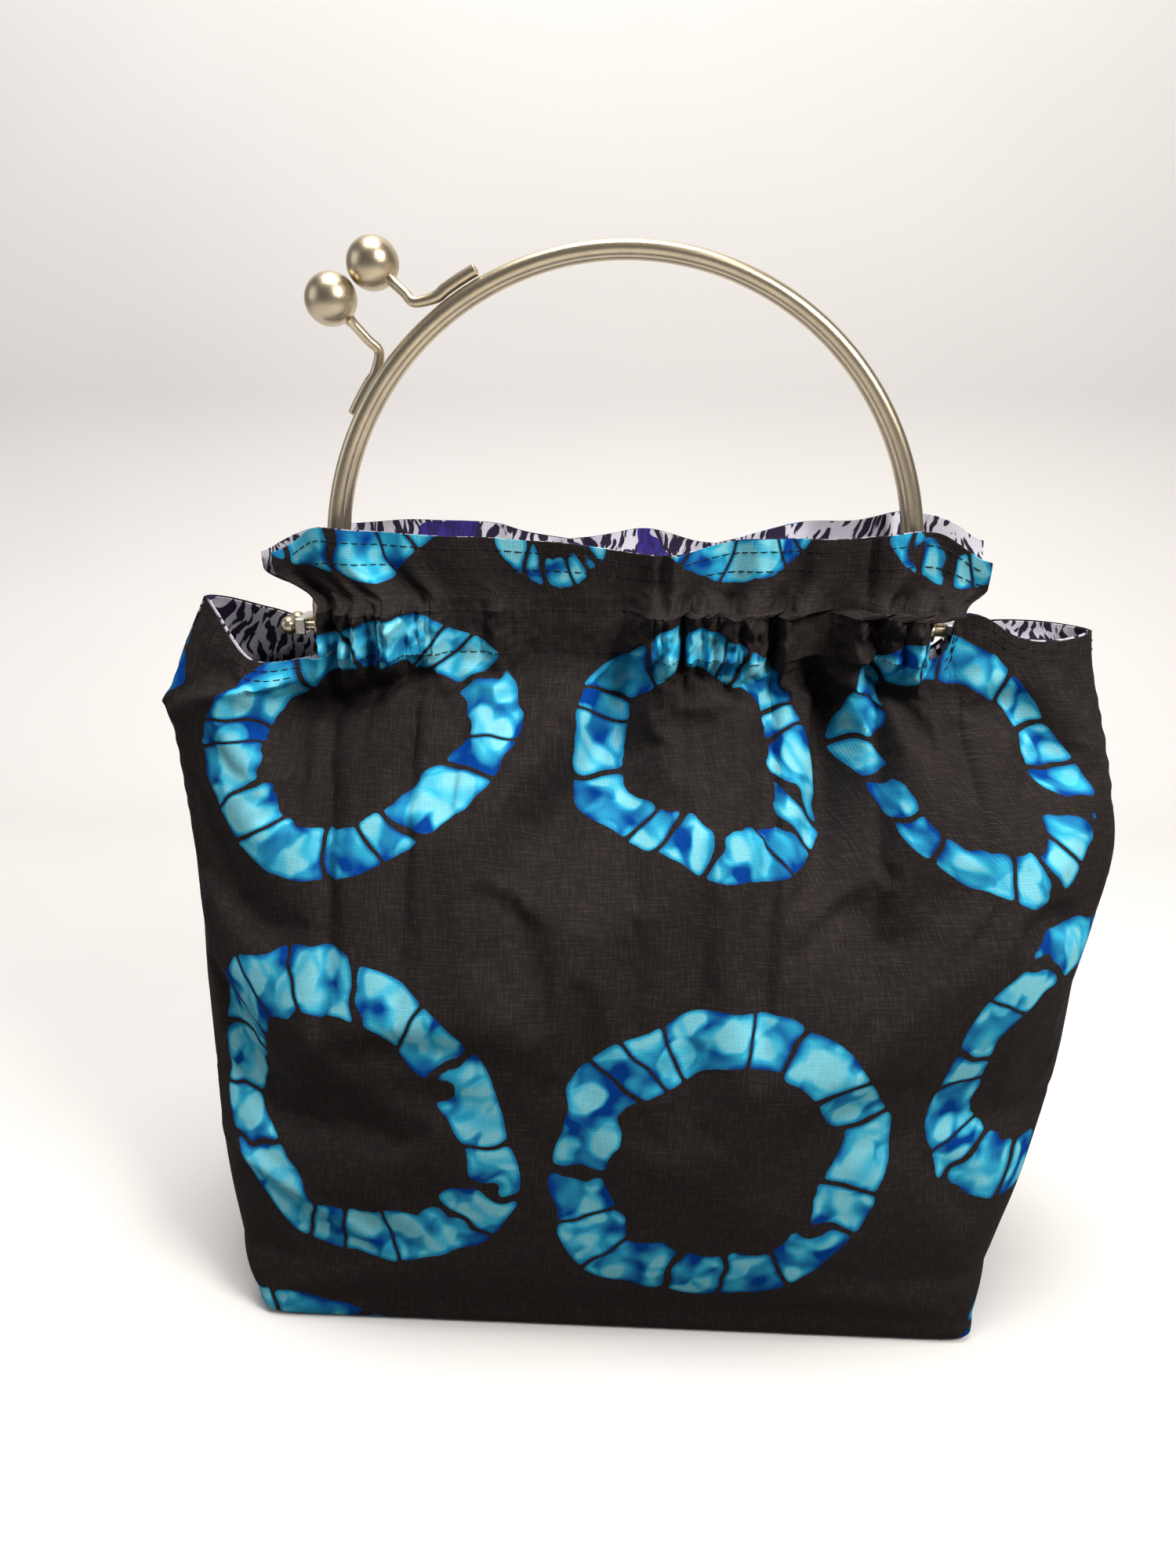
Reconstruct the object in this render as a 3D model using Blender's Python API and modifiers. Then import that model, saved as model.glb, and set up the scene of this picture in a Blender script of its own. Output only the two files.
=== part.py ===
"""Gathered cotton handbag hung on a round-wire handle frame with a ball clasp.

Metres, +Z up, the front towards -Y. The origin is the centre of the flat base.
Two handle arches swing on two straight rods, and each rod runs through the
casing along the top of one cloth panel. The pieces below are grouped as the
cloth bag, its rods and end links, and the front and back halves of the frame.
"""
import math

import bmesh
import bpy
import numpy as np
from mathutils import Matrix, Vector

# Clearance between pieces that touch on the real bag, and between its two cloths
GAP = 0.0003
CLOTH_GAP = 0.0005

# Rods, their end links and their ball nuts
ROD_HEIGHT = 0.190
ROD_OFFSET = 0.004
ROD_RADIUS = 0.0012
LINK_WIDTH = 0.0028
LINK_WALL = 0.0006
LINK_BEVEL = 0.0003
NUT_RADIUS = 0.0023
NUT_THREAD = 0.0026
ROD_SHOWING = 0.0024

# Handle arches
WIRE_RADIUS = 0.002
ARCH_RADIUS = 0.0727
ARCH_RISE = 0.0166
LEG_SPREAD = 0.0048
EYE_WALL = 0.0012
EYE_WIDTH = 0.0026

# Ball clasp
BALL_RADIUS = 0.0063
BALL_SOCKET_DEPTH = 0.0036
ARM_RADIUS = 0.00125
FOOT_RADIUS = 0.0015
CLASP_OFFSET = 0.001
CLASP_REACH = 0.0205
CLASP_STAGGER = 0.0007
CLASP_ANGLE = 45.3
FOOT_NEAR_ANGLE = 9.0
FOOT_FAR_ANGLE = 17.5
ELBOW_ANGLE = 5.6
ELBOW_RISE = 0.0022
FOOT_STEPS, PATH_STEPS = 3, 3

# Cloth
SHELL_THICKNESS = 0.001
LINING_THICKNESS = 0.0008
CASING_HEIGHT = 0.010
HEADER_THICKNESS = 0.0014
FRONT_HEADER_HEIGHT = 0.0245
BACK_HEADER_HEIGHT = 0.0265
HEADER_OVERHANG_LEFT, HEADER_OVERHANG_RIGHT = 0.0128, 0.0108
HEADER_TIP_DROP, HEADER_TIP_DROP_LENGTH = 0.008, 0.018
HEADER_TIP_RISE, HEADER_TIP_RISE_LENGTH = 0.004, 0.012
HEADER_SHOULDER = 0.0042
HEADER_ROOT_INSET, HEADER_ROOT_TAPER = 0.006, 0.005
FRILL_PITCH = 0.0174
FRILL_DEPTH = 0.0015

# Outline of the bag, left and right as the front shows them. The wings are the
# stretches of the mouth past the casings; their heights are counted from the rods,
# and places along a wing run from 0 at the casing's end to 1 at the side seam.
BASE_HALF_WIDTH = 0.098
BASE_HALF_DEPTH = 0.0375
BASE_EDGE_RADIUS = 0.005
BELLY_HALF_DEPTH = 0.047
BELLY_DEPTH_HEIGHT = 0.085
WING_LEFT, WING_RIGHT = 0.0398, 0.0413
BELLY_LEFT, BELLY_LEFT_HEIGHT = 0.0065, 0.150
BELLY_RIGHT, BELLY_RIGHT_HEIGHT = 0.0135, 0.133
WIDTH_POWER = 0.72
BASE_SQUARENESS, BODY_SQUARENESS = 7.0, 2.8
SHOULDER_POWER = 0.9
WING_HALF_DEPTH = 0.013
WING_DIP = 0.0027
CREST_RISE = {"left_front": -0.009, "left_back": 0.007,
              "right_front": 0.001, "right_back": 0.0015}
SEAM_RISE_LEFT, SEAM_RISE_RIGHT = -0.007, 0.0
WING_CLOTH_START, WING_OPEN = -0.16, 0.60
WING_DIP_START, WING_DIP_END = -0.12, 0.07
WING_RISE_START, WING_RISE_END = 0.34, 0.71
SEAM_FALL_START = 0.77

# Fineness of the meshes
RING_POINTS = 44
WALL_ROWS = 11
EDGE_ROWS = 2
ARC_POINTS, LEG_POINTS = 30, 6
HEADER_COLUMNS, HEADER_ROWS = 41, 4
BALL_SEGMENTS, NUT_SEGMENTS = 20, 14
CASING_SIDES, EYE_SIDES, ROD_SIDES = 20, 20, 16

# Sizes that follow from the ones above
LINK_HEIGHT = 2 * (ROD_RADIUS + GAP + LINK_WALL)
LINK_LENGTH = 2 * ROD_OFFSET + LINK_HEIGHT
BORE_RADIUS = ROD_RADIUS + GAP
EYE_RADIUS = BORE_RADIUS + EYE_WALL
EYE_X = ARCH_RADIUS + LEG_SPREAD
LINK_X = EYE_X + EYE_WIDTH / 2 + ROD_SHOWING + LINK_WIDTH / 2
NUT_SEAT = math.sqrt(NUT_RADIUS ** 2 - BORE_RADIUS ** 2)
NUT_X = LINK_X + LINK_WIDTH / 2 + GAP + NUT_SEAT
ROD_HALF_LENGTH = NUT_X - NUT_SEAT + NUT_THREAD
CASING_HALF_LENGTH = EYE_X - WIRE_RADIUS - GAP
CASING_HALF_HEIGHT = CASING_HEIGHT / 2
CASING_HALF_DEPTH = ROD_OFFSET - GAP
RIM_HEIGHT = ROD_HEIGHT - CASING_HALF_HEIGHT - GAP
RIM_HALF_DEPTH = ROD_OFFSET + SHELL_THICKNESS / 2
TOP_LEFT = CASING_HALF_LENGTH + WING_LEFT
TOP_RIGHT = CASING_HALF_LENGTH + WING_RIGHT
HEADER_LEFT = CASING_HALF_LENGTH + HEADER_OVERHANG_LEFT
HEADER_RIGHT = CASING_HALF_LENGTH + HEADER_OVERHANG_RIGHT
ARCH_CENTRE = ROD_HEIGHT + ARCH_RISE
FOOT_CENTRE_RADIUS = ARCH_RADIUS + WIRE_RADIUS + GAP + FOOT_RADIUS
FACES = {"front": -1, "back": 1}
BRASS = ("brass", (0.50, 0.43, 0.33), 0.36, 1.0)
OUTER_CLOTH = ("outer_cotton", (0.026, 0.024, 0.026), 0.88, 0.0)
LINING_CLOTH = ("lining_cotton", (0.62, 0.60, 0.66), 0.86, 0.0)


def clear_scene():
    """Remove the objects that the file already holds."""
    for thing in list(bpy.data.objects):
        bpy.data.objects.remove(thing, do_unlink=True)


def collection(name, hidden=False):
    """Make a collection in the scene."""
    group = bpy.data.collections.new(name)
    bpy.context.scene.collection.children.link(group)
    group.hide_render = hidden
    return group


def material(finish):
    """Principled material from a name, colour, roughness and metallic value."""
    name, colour, roughness, metallic = finish
    found = bpy.data.materials.get(name)
    if found:
        return found
    made = bpy.data.materials.new(name)
    made.use_nodes = True
    shader = made.node_tree.nodes["Principled BSDF"]
    shader.inputs["Base Color"].default_value = (*colour, 1.0)
    shader.inputs["Roughness"].default_value = roughness
    shader.inputs["Metallic"].default_value = metallic
    return made


def add_object(name, mesh, finish, group, origin=(0, 0, 0), smooth=True):
    """Put a mesh given in world coordinates into an object with its own origin."""
    mesh.name = name
    mesh.transform(Matrix.Translation(-Vector(origin)))
    if smooth:
        mesh.shade_smooth()
        mesh.set_sharp_from_angle(angle=math.radians(40))
    thing = bpy.data.objects.new(name, mesh)
    thing.location = origin
    group.objects.link(thing)
    if finish:
        piece_finish = (name + "_" + finish[0],) + finish[1:]
        mesh.materials.append(material(piece_finish))
    return thing


def add_cutter(name, mesh, group):
    """A guide body that only cuts or joins others."""
    thing = add_object(name, mesh, None, group, smooth=False)
    thing.hide_render = True
    thing.display_type = "WIRE"
    return thing


def boolean(thing, tool, operation):
    """Cut or join with the exact solver."""
    step = thing.modifiers.new(operation.lower(), "BOOLEAN")
    step.solver = "EXACT"
    step.operation = operation
    step.object = tool


def mesh_from(build):
    """Run a bmesh builder and return its mesh."""
    shape = bmesh.new()
    build(shape)
    mesh = bpy.data.meshes.new("shape")
    shape.to_mesh(mesh)
    shape.free()
    return mesh


def ball(centre, radius, segments):
    """A round ball."""
    def build(shape):
        bmesh.ops.create_uvsphere(shape, u_segments=segments, v_segments=segments // 2, radius=radius,
                                  matrix=Matrix.Translation(centre))
    return mesh_from(build)


def bar(start, end, radius, sides):
    """A straight round bar between two points."""
    start, end = Vector(start), Vector(end)
    turn = (end - start).to_track_quat("Z", "Y").to_matrix().to_4x4()

    def build(shape):
        bmesh.ops.create_cone(shape, cap_ends=True, segments=sides, radius1=radius, radius2=radius,
                              depth=(end - start).length,
                              matrix=Matrix.Translation((start + end) / 2) @ turn)
    return mesh_from(build)


def block(centre, size):
    """A rectangular block."""
    def build(shape):
        place = Matrix.Translation(centre) @ Matrix.Diagonal((*size, 1))
        bmesh.ops.create_cube(shape, size=1.0, matrix=place)
    return mesh_from(build)


def tube(points, radius, thickness_factors=None):
    """Round wire along a path of points, as a closed mesh."""
    curve = bpy.data.curves.new("wire", "CURVE")
    curve.dimensions = "3D"
    curve.bevel_depth = radius
    curve.bevel_resolution = 2
    curve.use_fill_caps = True
    spline = curve.splines.new("POLY")
    spline.points.add(len(points) - 1)
    for index, point in enumerate(points):
        spline.points[index].co = (*point, 1.0)
        if thickness_factors is not None:
            spline.points[index].radius = thickness_factors[index]
    guide = bpy.data.objects.new("wire", curve)
    bpy.context.scene.collection.objects.link(guide)
    bpy.context.view_layer.update()
    evaluated = guide.evaluated_get(bpy.context.evaluated_depsgraph_get())
    mesh = bpy.data.meshes.new_from_object(evaluated)
    bpy.data.objects.remove(guide, do_unlink=True)
    shape = bmesh.new()
    shape.from_mesh(mesh)
    bmesh.ops.remove_doubles(shape, verts=shape.verts, dist=1e-6)
    bmesh.ops.recalc_face_normals(shape, faces=shape.faces)
    shape.to_mesh(mesh)
    shape.free()
    return mesh


def smoothstep(value, start, end):
    """Rise smoothly from 0 at start to 1 at end."""
    share = np.clip((value - start) / (end - start), 0.0, 1.0)
    return share * share * (3.0 - 2.0 * share)


def half_width(height, right):
    """Half width of the bag at a height, on the left or the right side."""
    top = np.where(right, TOP_RIGHT, TOP_LEFT)
    swell = np.where(right, BELLY_RIGHT, BELLY_LEFT)
    belly_height = np.where(right, BELLY_RIGHT_HEIGHT, BELLY_LEFT_HEIGHT)
    rise = np.clip(height / belly_height, 0.0, 1.0) ** WIDTH_POWER
    lower = BASE_HALF_WIDTH + (top + swell - BASE_HALF_WIDTH) * np.sin(math.pi / 2 * rise)
    return lower - swell * smoothstep(height, belly_height, ROD_HEIGHT)


def along_wing(share, right):
    """Place along the wing, from the share of the half width."""
    top = np.where(right, TOP_RIGHT, TOP_LEFT)
    return (share * top - CASING_HALF_LENGTH) / (top - CASING_HALF_LENGTH)


def rim_height(share, right, back):
    """Height of the panels' top edge: level under the casings, then up over each wing."""
    crest = np.where(right, np.where(back, CREST_RISE["right_back"], CREST_RISE["right_front"]),
                     np.where(back, CREST_RISE["left_back"], CREST_RISE["left_front"]))
    seam = np.where(right, SEAM_RISE_RIGHT, SEAM_RISE_LEFT)
    place = along_wing(share, right)
    low = RIM_HEIGHT - WING_DIP
    height = RIM_HEIGHT - WING_DIP * smoothstep(place, WING_DIP_START, WING_DIP_END)
    height = height + (ROD_HEIGHT + crest - low) * smoothstep(place, WING_RISE_START, WING_RISE_END)
    return height + (seam - crest) * smoothstep(place, SEAM_FALL_START, 1.0)


def rim_half_depth(share, right, inset):
    """Half depth of the mouth: narrow along the casings, open in the side wings."""
    swell = smoothstep(along_wing(share, right), WING_CLOTH_START, WING_OPEN)
    depth = RIM_HALF_DEPTH - inset + (WING_HALF_DEPTH - RIM_HALF_DEPTH) * swell
    return depth * np.sqrt(1.0 - share ** 8)


def ring(wall_share, edge_inset, base_height, inset):
    """Ring of points around the bag, a distance inside its outer face.

    Each ring is a superellipse that is nearly a rectangle at the base. Towards
    the top it blends into the outline of the mouth.
    """
    angle = 2 * math.pi * (np.arange(RING_POINTS) + 0.5) / RING_POINTS
    exponent = BASE_SQUARENESS + (BODY_SQUARENESS - BASE_SQUARENESS) * smoothstep(wall_share, 0.0, 0.5)
    across = np.sign(np.cos(angle)) * np.abs(np.cos(angle)) ** (2 / exponent)
    share = np.abs(across)
    right, back = across > 0, np.sin(angle) > 0
    top = rim_height(share, right, back)
    height = base_height + wall_share * (top - BASE_EDGE_RADIUS)
    swell = np.sin(math.pi / 2 * np.clip(height / BELLY_DEPTH_HEIGHT, 0.0, 1.0))
    body_depth = BASE_HALF_DEPTH + (BELLY_HALF_DEPTH - BASE_HALF_DEPTH) * swell
    above = np.clip((height - BELLY_DEPTH_HEIGHT) / (top - BELLY_DEPTH_HEIGHT), 0.0, 1.0)
    keep = np.cos(math.pi / 2 * above) ** SHOULDER_POWER
    body = (body_depth - inset - edge_inset) * np.abs(np.sin(angle)) ** (2 / exponent)
    depth = keep * body + (1.0 - keep) * rim_half_depth(share, right, inset)
    x = across * (half_width(height, right) - inset - edge_inset)
    y = np.where(back, depth, -depth)
    return np.stack([x, y, height], axis=1)


def bag_rings(inset):
    """Rings of one skin, from the flat of the base round its edge and up to the rim."""
    rings = []
    radius = BASE_EDGE_RADIUS - inset
    for step in range(EDGE_ROWS + 1):
        turn = math.pi / 2 * step / EDGE_ROWS
        height = inset + radius * (1 - math.cos(turn))
        rings.append(ring(0.0, radius * (1 - math.sin(turn)), height, inset))
    for step in range(1, WALL_ROWS + 1):
        rings.append(ring(step / WALL_ROWS, 0.0, BASE_EDGE_RADIUS, inset))
    return rings


def bag_wall(inset, thickness):
    """Closed wall of the bag between two skins, with an open mouth.

    Every skin is split along the same diagonals, so that the gap between the
    shell and its lining stays even where the cloth is twisted.
    """
    def build(shape):
        outer = [[shape.verts.new(point) for point in points] for points in bag_rings(inset)]
        inner = [[shape.verts.new(point) for point in points] for points in bag_rings(inset + thickness)]
        shape.faces.new(list(reversed(outer[0])))
        shape.faces.new(inner[0])
        for index in range(RING_POINTS):
            after = (index + 1) % RING_POINTS
            for lower, upper in zip(outer, outer[1:]):
                shape.faces.new((lower[index], lower[after], upper[after]))
                shape.faces.new((lower[index], upper[after], upper[index]))
            for lower, upper in zip(inner, inner[1:]):
                shape.faces.new((lower[index], upper[after], lower[after]))
                shape.faces.new((lower[index], upper[index], upper[after]))
            shape.faces.new((outer[-1][index], outer[-1][after], inner[-1][after], inner[-1][index]))
    return mesh_from(build)


def make_cloth_bag(parts):
    """Outer cotton and, clear inside it, the lining."""
    add_object("bag_shell", bag_wall(0.0, SHELL_THICKNESS), OUTER_CLOTH, parts)
    lining = bag_wall(SHELL_THICKNESS + CLOTH_GAP, LINING_THICKNESS)
    add_object("bag_lining", lining, LINING_CLOTH, parts)


def make_casing(face, parts):
    """Cloth channel around one rod, oval in section, with the rod's way through it."""
    side = FACES[face]
    channel = bar((-CASING_HALF_LENGTH, 0, 0), (CASING_HALF_LENGTH, 0, 0), 1.0, CASING_SIDES)
    channel.transform(Matrix.Diagonal((1, CASING_HALF_DEPTH, CASING_HALF_HEIGHT, 1)))
    channel.transform(Matrix.Translation((0, side * ROD_OFFSET, ROD_HEIGHT)))
    casing = add_object(face + "_casing", channel, OUTER_CLOTH, parts)
    boolean(casing, bpy.data.objects[face + "_rod_bore"], "DIFFERENCE")


def header_sheet(side, height):
    """Frilled strip that stands above the casing and passes outside the arch wire."""
    root = ROD_HEIGHT + CASING_HALF_HEIGHT + 2 * GAP
    shoulder = root + HEADER_SHOULDER
    clear = WIRE_RADIUS + HEADER_THICKNESS / 2 + CLOTH_GAP
    top = ROD_HEIGHT + height
    root_end = CASING_HALF_LENGTH - HEADER_ROOT_INSET

    def build(shape):
        grid = []
        for x in np.linspace(-HEADER_LEFT, HEADER_RIGHT, HEADER_COLUMNS):
            end = HEADER_LEFT if x < 0 else HEADER_RIGHT
            low = root + HEADER_SHOULDER * float(smoothstep(abs(x), root_end - HEADER_ROOT_TAPER, root_end))
            low += HEADER_TIP_RISE * float(smoothstep(abs(x), end - HEADER_TIP_RISE_LENGTH, end))
            high = top - HEADER_TIP_DROP * float(smoothstep(abs(x), end - HEADER_TIP_DROP_LENGTH, end))
            column = []
            for share in np.linspace(0.0, 1.0, HEADER_ROWS):
                z = low + (high - low) * share
                lean = clear * float(smoothstep(z, root, shoulder))
                frill = FRILL_DEPTH * (0.5 - 0.5 * math.cos(2 * math.pi * x / FRILL_PITCH))
                lean += frill * float(smoothstep(z, shoulder, top))
                column.append(shape.verts.new((x, side * (ROD_OFFSET + lean), z)))
            grid.append(column)
        for left, right in zip(grid, grid[1:]):
            for row in range(HEADER_ROWS - 1):
                corners = (left[row], right[row], right[row + 1], left[row + 1])
                shape.faces.new(corners if side < 0 else tuple(reversed(corners)))
    return mesh_from(build)


def make_header(face, height, hinge, parts):
    """The header swings with its arch, which pushes it over."""
    sheet = header_sheet(FACES[face], height)
    header = add_object(face + "_header", sheet, OUTER_CLOTH, parts, origin=hinge)
    cloth = header.modifiers.new("cloth", "SOLIDIFY")
    cloth.thickness = HEADER_THICKNESS
    cloth.offset = 0.0


def rod_bar(y, half_length, radius):
    """A round bar along one rod's axis."""
    return bar((-half_length, y, ROD_HEIGHT), (half_length, y, ROD_HEIGHT), radius, ROD_SIDES)


def make_rods(parts, tools):
    """Two rods, the two links that carry both, and a ball nut on each rod end."""
    for face, side in FACES.items():
        y = side * ROD_OFFSET
        add_object(face + "_rod", rod_bar(y, ROD_HALF_LENGTH, ROD_RADIUS), BRASS, parts)
        bore = add_cutter(face + "_rod_bore", rod_bar(y, ROD_HALF_LENGTH + GAP, BORE_RADIUS), tools)
        for hand, x in (("left", -NUT_X), ("right", NUT_X)):
            nut_ball = ball((x, y, ROD_HEIGHT), NUT_RADIUS, NUT_SEGMENTS)
            nut = add_object(face + "_nut_" + hand, nut_ball, BRASS, parts)
            boolean(nut, bore, "DIFFERENCE")
    for hand, x in (("left", -LINK_X), ("right", LINK_X)):
        size = (LINK_WIDTH, LINK_LENGTH, LINK_HEIGHT)
        link = add_object("link_" + hand, block((x, 0, ROD_HEIGHT), size), BRASS, parts, smooth=False)
        edges = link.modifiers.new("edges", "BEVEL")
        edges.width = LINK_BEVEL
        edges.segments = 1
        for face in FACES:
            boolean(link, bpy.data.objects[face + "_rod_bore"], "DIFFERENCE")


def arch_path(y):
    """Centreline of one arch: a half circle on legs that rise from the eyes and curve in."""
    straight_top = ROD_HEIGHT + CASING_HALF_HEIGHT + GAP
    leg = [(EYE_X, ROD_HEIGHT + BORE_RADIUS + EYE_WALL / 2)]
    for share in np.arange(LEG_POINTS) / LEG_POINTS:
        spread = LEG_SPREAD * (1.0 - float(smoothstep(share, 0.0, 1.0)))
        leg.append((ARCH_RADIUS + spread, straight_top + (ARCH_CENTRE - straight_top) * share))
    turns = np.linspace(0.0, math.pi, ARC_POINTS)
    arc = [(ARCH_RADIUS * math.cos(turn), ARCH_CENTRE + ARCH_RADIUS * math.sin(turn)) for turn in turns]
    far_leg = [(-x, z) for x, z in reversed(leg)]
    return [(x, y, z) for x, z in leg + arc + far_leg]


def make_arch(face, hinge, parts, tools):
    """Handle arch with an eye at each end that turns on its rod."""
    y = FACES[face] * ROD_OFFSET
    arch = add_object(face + "_arch", tube(arch_path(y), WIRE_RADIUS), BRASS, parts, origin=hinge)
    for hand, x in (("left", -EYE_X), ("right", EYE_X)):
        half = EYE_WIDTH / 2
        eye = bar((x - half, y, ROD_HEIGHT), (x + half, y, ROD_HEIGHT), EYE_RADIUS, EYE_SIDES)
        boolean(arch, add_cutter(face + "_eye_" + hand, eye, tools), "UNION")
    boolean(arch, bpy.data.objects[face + "_rod_bore"], "DIFFERENCE")


def on_arch(angle, radius, y):
    """Point at an angle above -X around the arch centre."""
    turn = math.radians(angle)
    return Vector((-radius * math.cos(turn), y, ARCH_CENTRE + radius * math.sin(turn)))


def smooth_path(points, steps):
    """Catmull-Rom curve through the points, with even steps between them."""
    ends = [2 * points[0] - points[1]] + list(points) + [2 * points[-1] - points[-2]]
    path = []
    for before, start, end, after in zip(ends, ends[1:], ends[2:], ends[3:]):
        for step in range(steps):
            t = step / steps
            path.append(0.5 * (2 * start + (end - before) * t
                               + (2 * before - 5 * start + 4 * end - after) * t * t
                               + (3 * start - before - 3 * end + after) * t ** 3))
    return path + [points[-1]]


def make_clasp(face, hinge, parts, tools):
    """Ball on a bent wire whose foot lies along the outside of its arch.

    Closed, the front half's ball has passed behind the back half's ball. The
    two lie side by side along the arch, a clearance apart.
    """
    side = FACES[face]
    y = side * ROD_OFFSET
    reach = ARCH_RADIUS + CLASP_REACH + side * CLASP_STAGGER
    half_apart = math.degrees(math.asin((BALL_RADIUS + GAP / 2) / reach))
    centre = on_arch(CLASP_ANGLE - side * half_apart, reach, -side * CLASP_OFFSET)
    foot_angles = np.linspace(FOOT_FAR_ANGLE, FOOT_NEAR_ANGLE, FOOT_STEPS + 1)
    foot = [on_arch(CLASP_ANGLE - side * angle, FOOT_CENTRE_RADIUS, y) for angle in foot_angles]
    elbow = on_arch(CLASP_ANGLE - side * ELBOW_ANGLE, FOOT_CENTRE_RADIUS + ELBOW_RISE, y)
    entry = (centre - elbow).normalized()
    socket_end = centre - entry * (BALL_RADIUS - BALL_SOCKET_DEPTH)
    tip = socket_end - entry * GAP
    rise = [elbow.lerp(tip, share) for share in (1 / 3, 2 / 3)]
    path = smooth_path(foot + [elbow] + rise + [tip], PATH_STEPS)
    foot_end = FOOT_STEPS * PATH_STEPS
    taper = 1.0 - smoothstep(np.arange(len(path)), foot_end - 1, foot_end + 2)
    arm = tube(path, ARM_RADIUS, 1.0 + (FOOT_RADIUS / ARM_RADIUS - 1.0) * taper)
    add_object(face + "_clasp_arm", arm, BRASS, parts, origin=hinge)
    socket = bar(socket_end, socket_end - entry * 2 * BALL_RADIUS, ARM_RADIUS + GAP, ROD_SIDES)
    clasp_ball = ball(centre, BALL_RADIUS, BALL_SEGMENTS)
    clasp_ball = add_object(face + "_clasp_ball", clasp_ball, BRASS, parts, origin=hinge)
    boolean(clasp_ball, add_cutter(face + "_ball_socket", socket, tools), "DIFFERENCE")


def main():
    clear_scene()
    parts = collection("gathered_handbag")
    tools = collection("cutters", hidden=True)
    make_cloth_bag(parts)
    make_rods(parts, tools)
    for face, height in (("front", FRONT_HEADER_HEIGHT), ("back", BACK_HEADER_HEIGHT)):
        hinge = (0, FACES[face] * ROD_OFFSET, ROD_HEIGHT)
        make_casing(face, parts)
        make_arch(face, hinge, parts, tools)
        make_clasp(face, hinge, parts, tools)
        make_header(face, height, hinge, parts)


main()
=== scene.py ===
import math

import bmesh
import bpy
import numpy as np
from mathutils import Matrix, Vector


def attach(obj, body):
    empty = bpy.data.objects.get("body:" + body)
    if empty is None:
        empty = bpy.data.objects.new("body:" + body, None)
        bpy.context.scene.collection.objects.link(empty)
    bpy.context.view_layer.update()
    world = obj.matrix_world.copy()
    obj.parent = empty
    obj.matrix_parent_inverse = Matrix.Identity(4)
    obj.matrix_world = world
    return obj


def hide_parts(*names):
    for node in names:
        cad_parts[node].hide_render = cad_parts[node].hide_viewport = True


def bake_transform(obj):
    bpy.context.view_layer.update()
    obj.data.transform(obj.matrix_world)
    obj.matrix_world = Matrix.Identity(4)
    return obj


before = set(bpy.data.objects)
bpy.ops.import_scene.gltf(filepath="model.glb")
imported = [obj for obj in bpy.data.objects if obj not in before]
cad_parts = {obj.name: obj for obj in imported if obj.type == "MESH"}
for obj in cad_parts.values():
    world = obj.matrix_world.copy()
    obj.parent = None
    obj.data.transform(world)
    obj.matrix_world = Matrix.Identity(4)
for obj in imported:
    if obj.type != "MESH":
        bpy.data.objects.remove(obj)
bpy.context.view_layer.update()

# Looks of a gathered cotton handbag on a brass wire frame with a ball clasp.
# Metres, the front towards -Y, the origin at the centre of the flat base.

# Places and sizes that the solids give
GAP = 0.0003
ROD_HEIGHT, ROD_OFFSET, ROD_RADIUS = 0.190, 0.004, 0.0012
WIRE_RADIUS, ARCH_RADIUS, ARCH_RISE, LEG_SPREAD = 0.002, 0.0727, 0.0166, 0.0048
EYE_WALL, EYE_WIDTH, EYE_EDGE = 0.0012, 0.0026, 0.00035
BALL_RADIUS, ARM_RADIUS, FOOT_RADIUS = 0.0063, 0.00125, 0.0015
NUT_RADIUS, NUT_X = 0.0023, 0.08604
CLASP_OFFSET, CLASP_REACH, CLASP_STAGGER, CLASP_ANGLE = 0.001, 0.0205, 0.0007, 45.3
FOOT_NEAR_ANGLE, FOOT_FAR_ANGLE, ELBOW_ANGLE, ELBOW_RISE = 9.0, 17.5, 5.6, 0.0022
# How far each clasp arm reaches into its ball, and the rounded solder where it enters
ARM_INTO_BALL, SOLDER_HEIGHT, SOLDER_REACH = 0.0012, 0.00045, 0.0016
CASING_HALF_HEIGHT, CASING_HEIGHT = 0.005, 0.0107
# How far the cloth of each casing reaches above and below the rod, and how much it bulges there
CASING_REACH, CASING_BULGE = 0.0054, 0.0004
BASE_HALF_DEPTH, BASE_EDGE_RADIUS = 0.0390, 0.0028
BELLY_HALF_DEPTH, BELLY_DEPTH_HEIGHT = 0.047, 0.085
SHOULDER_POWER = 1.3
WING_HALF_DEPTH = 0.013
WING_LEFT, WING_RIGHT = 0.0398, 0.0413
# Where each wing's mouth starts to open and where it is fully open, along the wing
WING_CLOTH_START, WING_OPEN = -0.16, 0.60
# How much narrower the front left wing's mouth is at its side seam, and where that starts
LEFT_MOUTH_NARROWING, LEFT_MOUTH_START = 0.60, 0.30
# Height of each wing's top edge over the casing's lower stitching, at places
# from the casing's end, 0, to the side seam, 1
WING_PLACES = (-0.12, 0.05, 0.11, 0.14, 0.17, 0.25, 0.33, 0.46, 0.70, 0.85, 1.00)
WING_EDGES = {
    "left_front": (0.0, -0.0012, -0.0016, -0.0018, -0.0020, -0.0024,
                   -0.0026, -0.0022, 0.0034, 0.0080, 0.0122),
    "left_back": (0.0, -0.0018, -0.0006, 0.0002, 0.0010, 0.0030,
                  0.0046, 0.0062, 0.0086, 0.0104, 0.0122),
    "right_front": (0.0, 0.0014, 0.0038, 0.0088, 0.0102, 0.0108,
                    0.0098, 0.0062, 0.0044, 0.0048, 0.0055),
    "right_back": (0.0, -0.0018, -0.0006, 0.0003, 0.0012, 0.0034,
                   0.0048, 0.0056, 0.0060, 0.0058, 0.0055),
}
HEADER_LEFT, HEADER_RIGHT = 0.0864, 0.0884
HEADER_HEIGHTS = {"front": 0.0242, "back": 0.0262}
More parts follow.
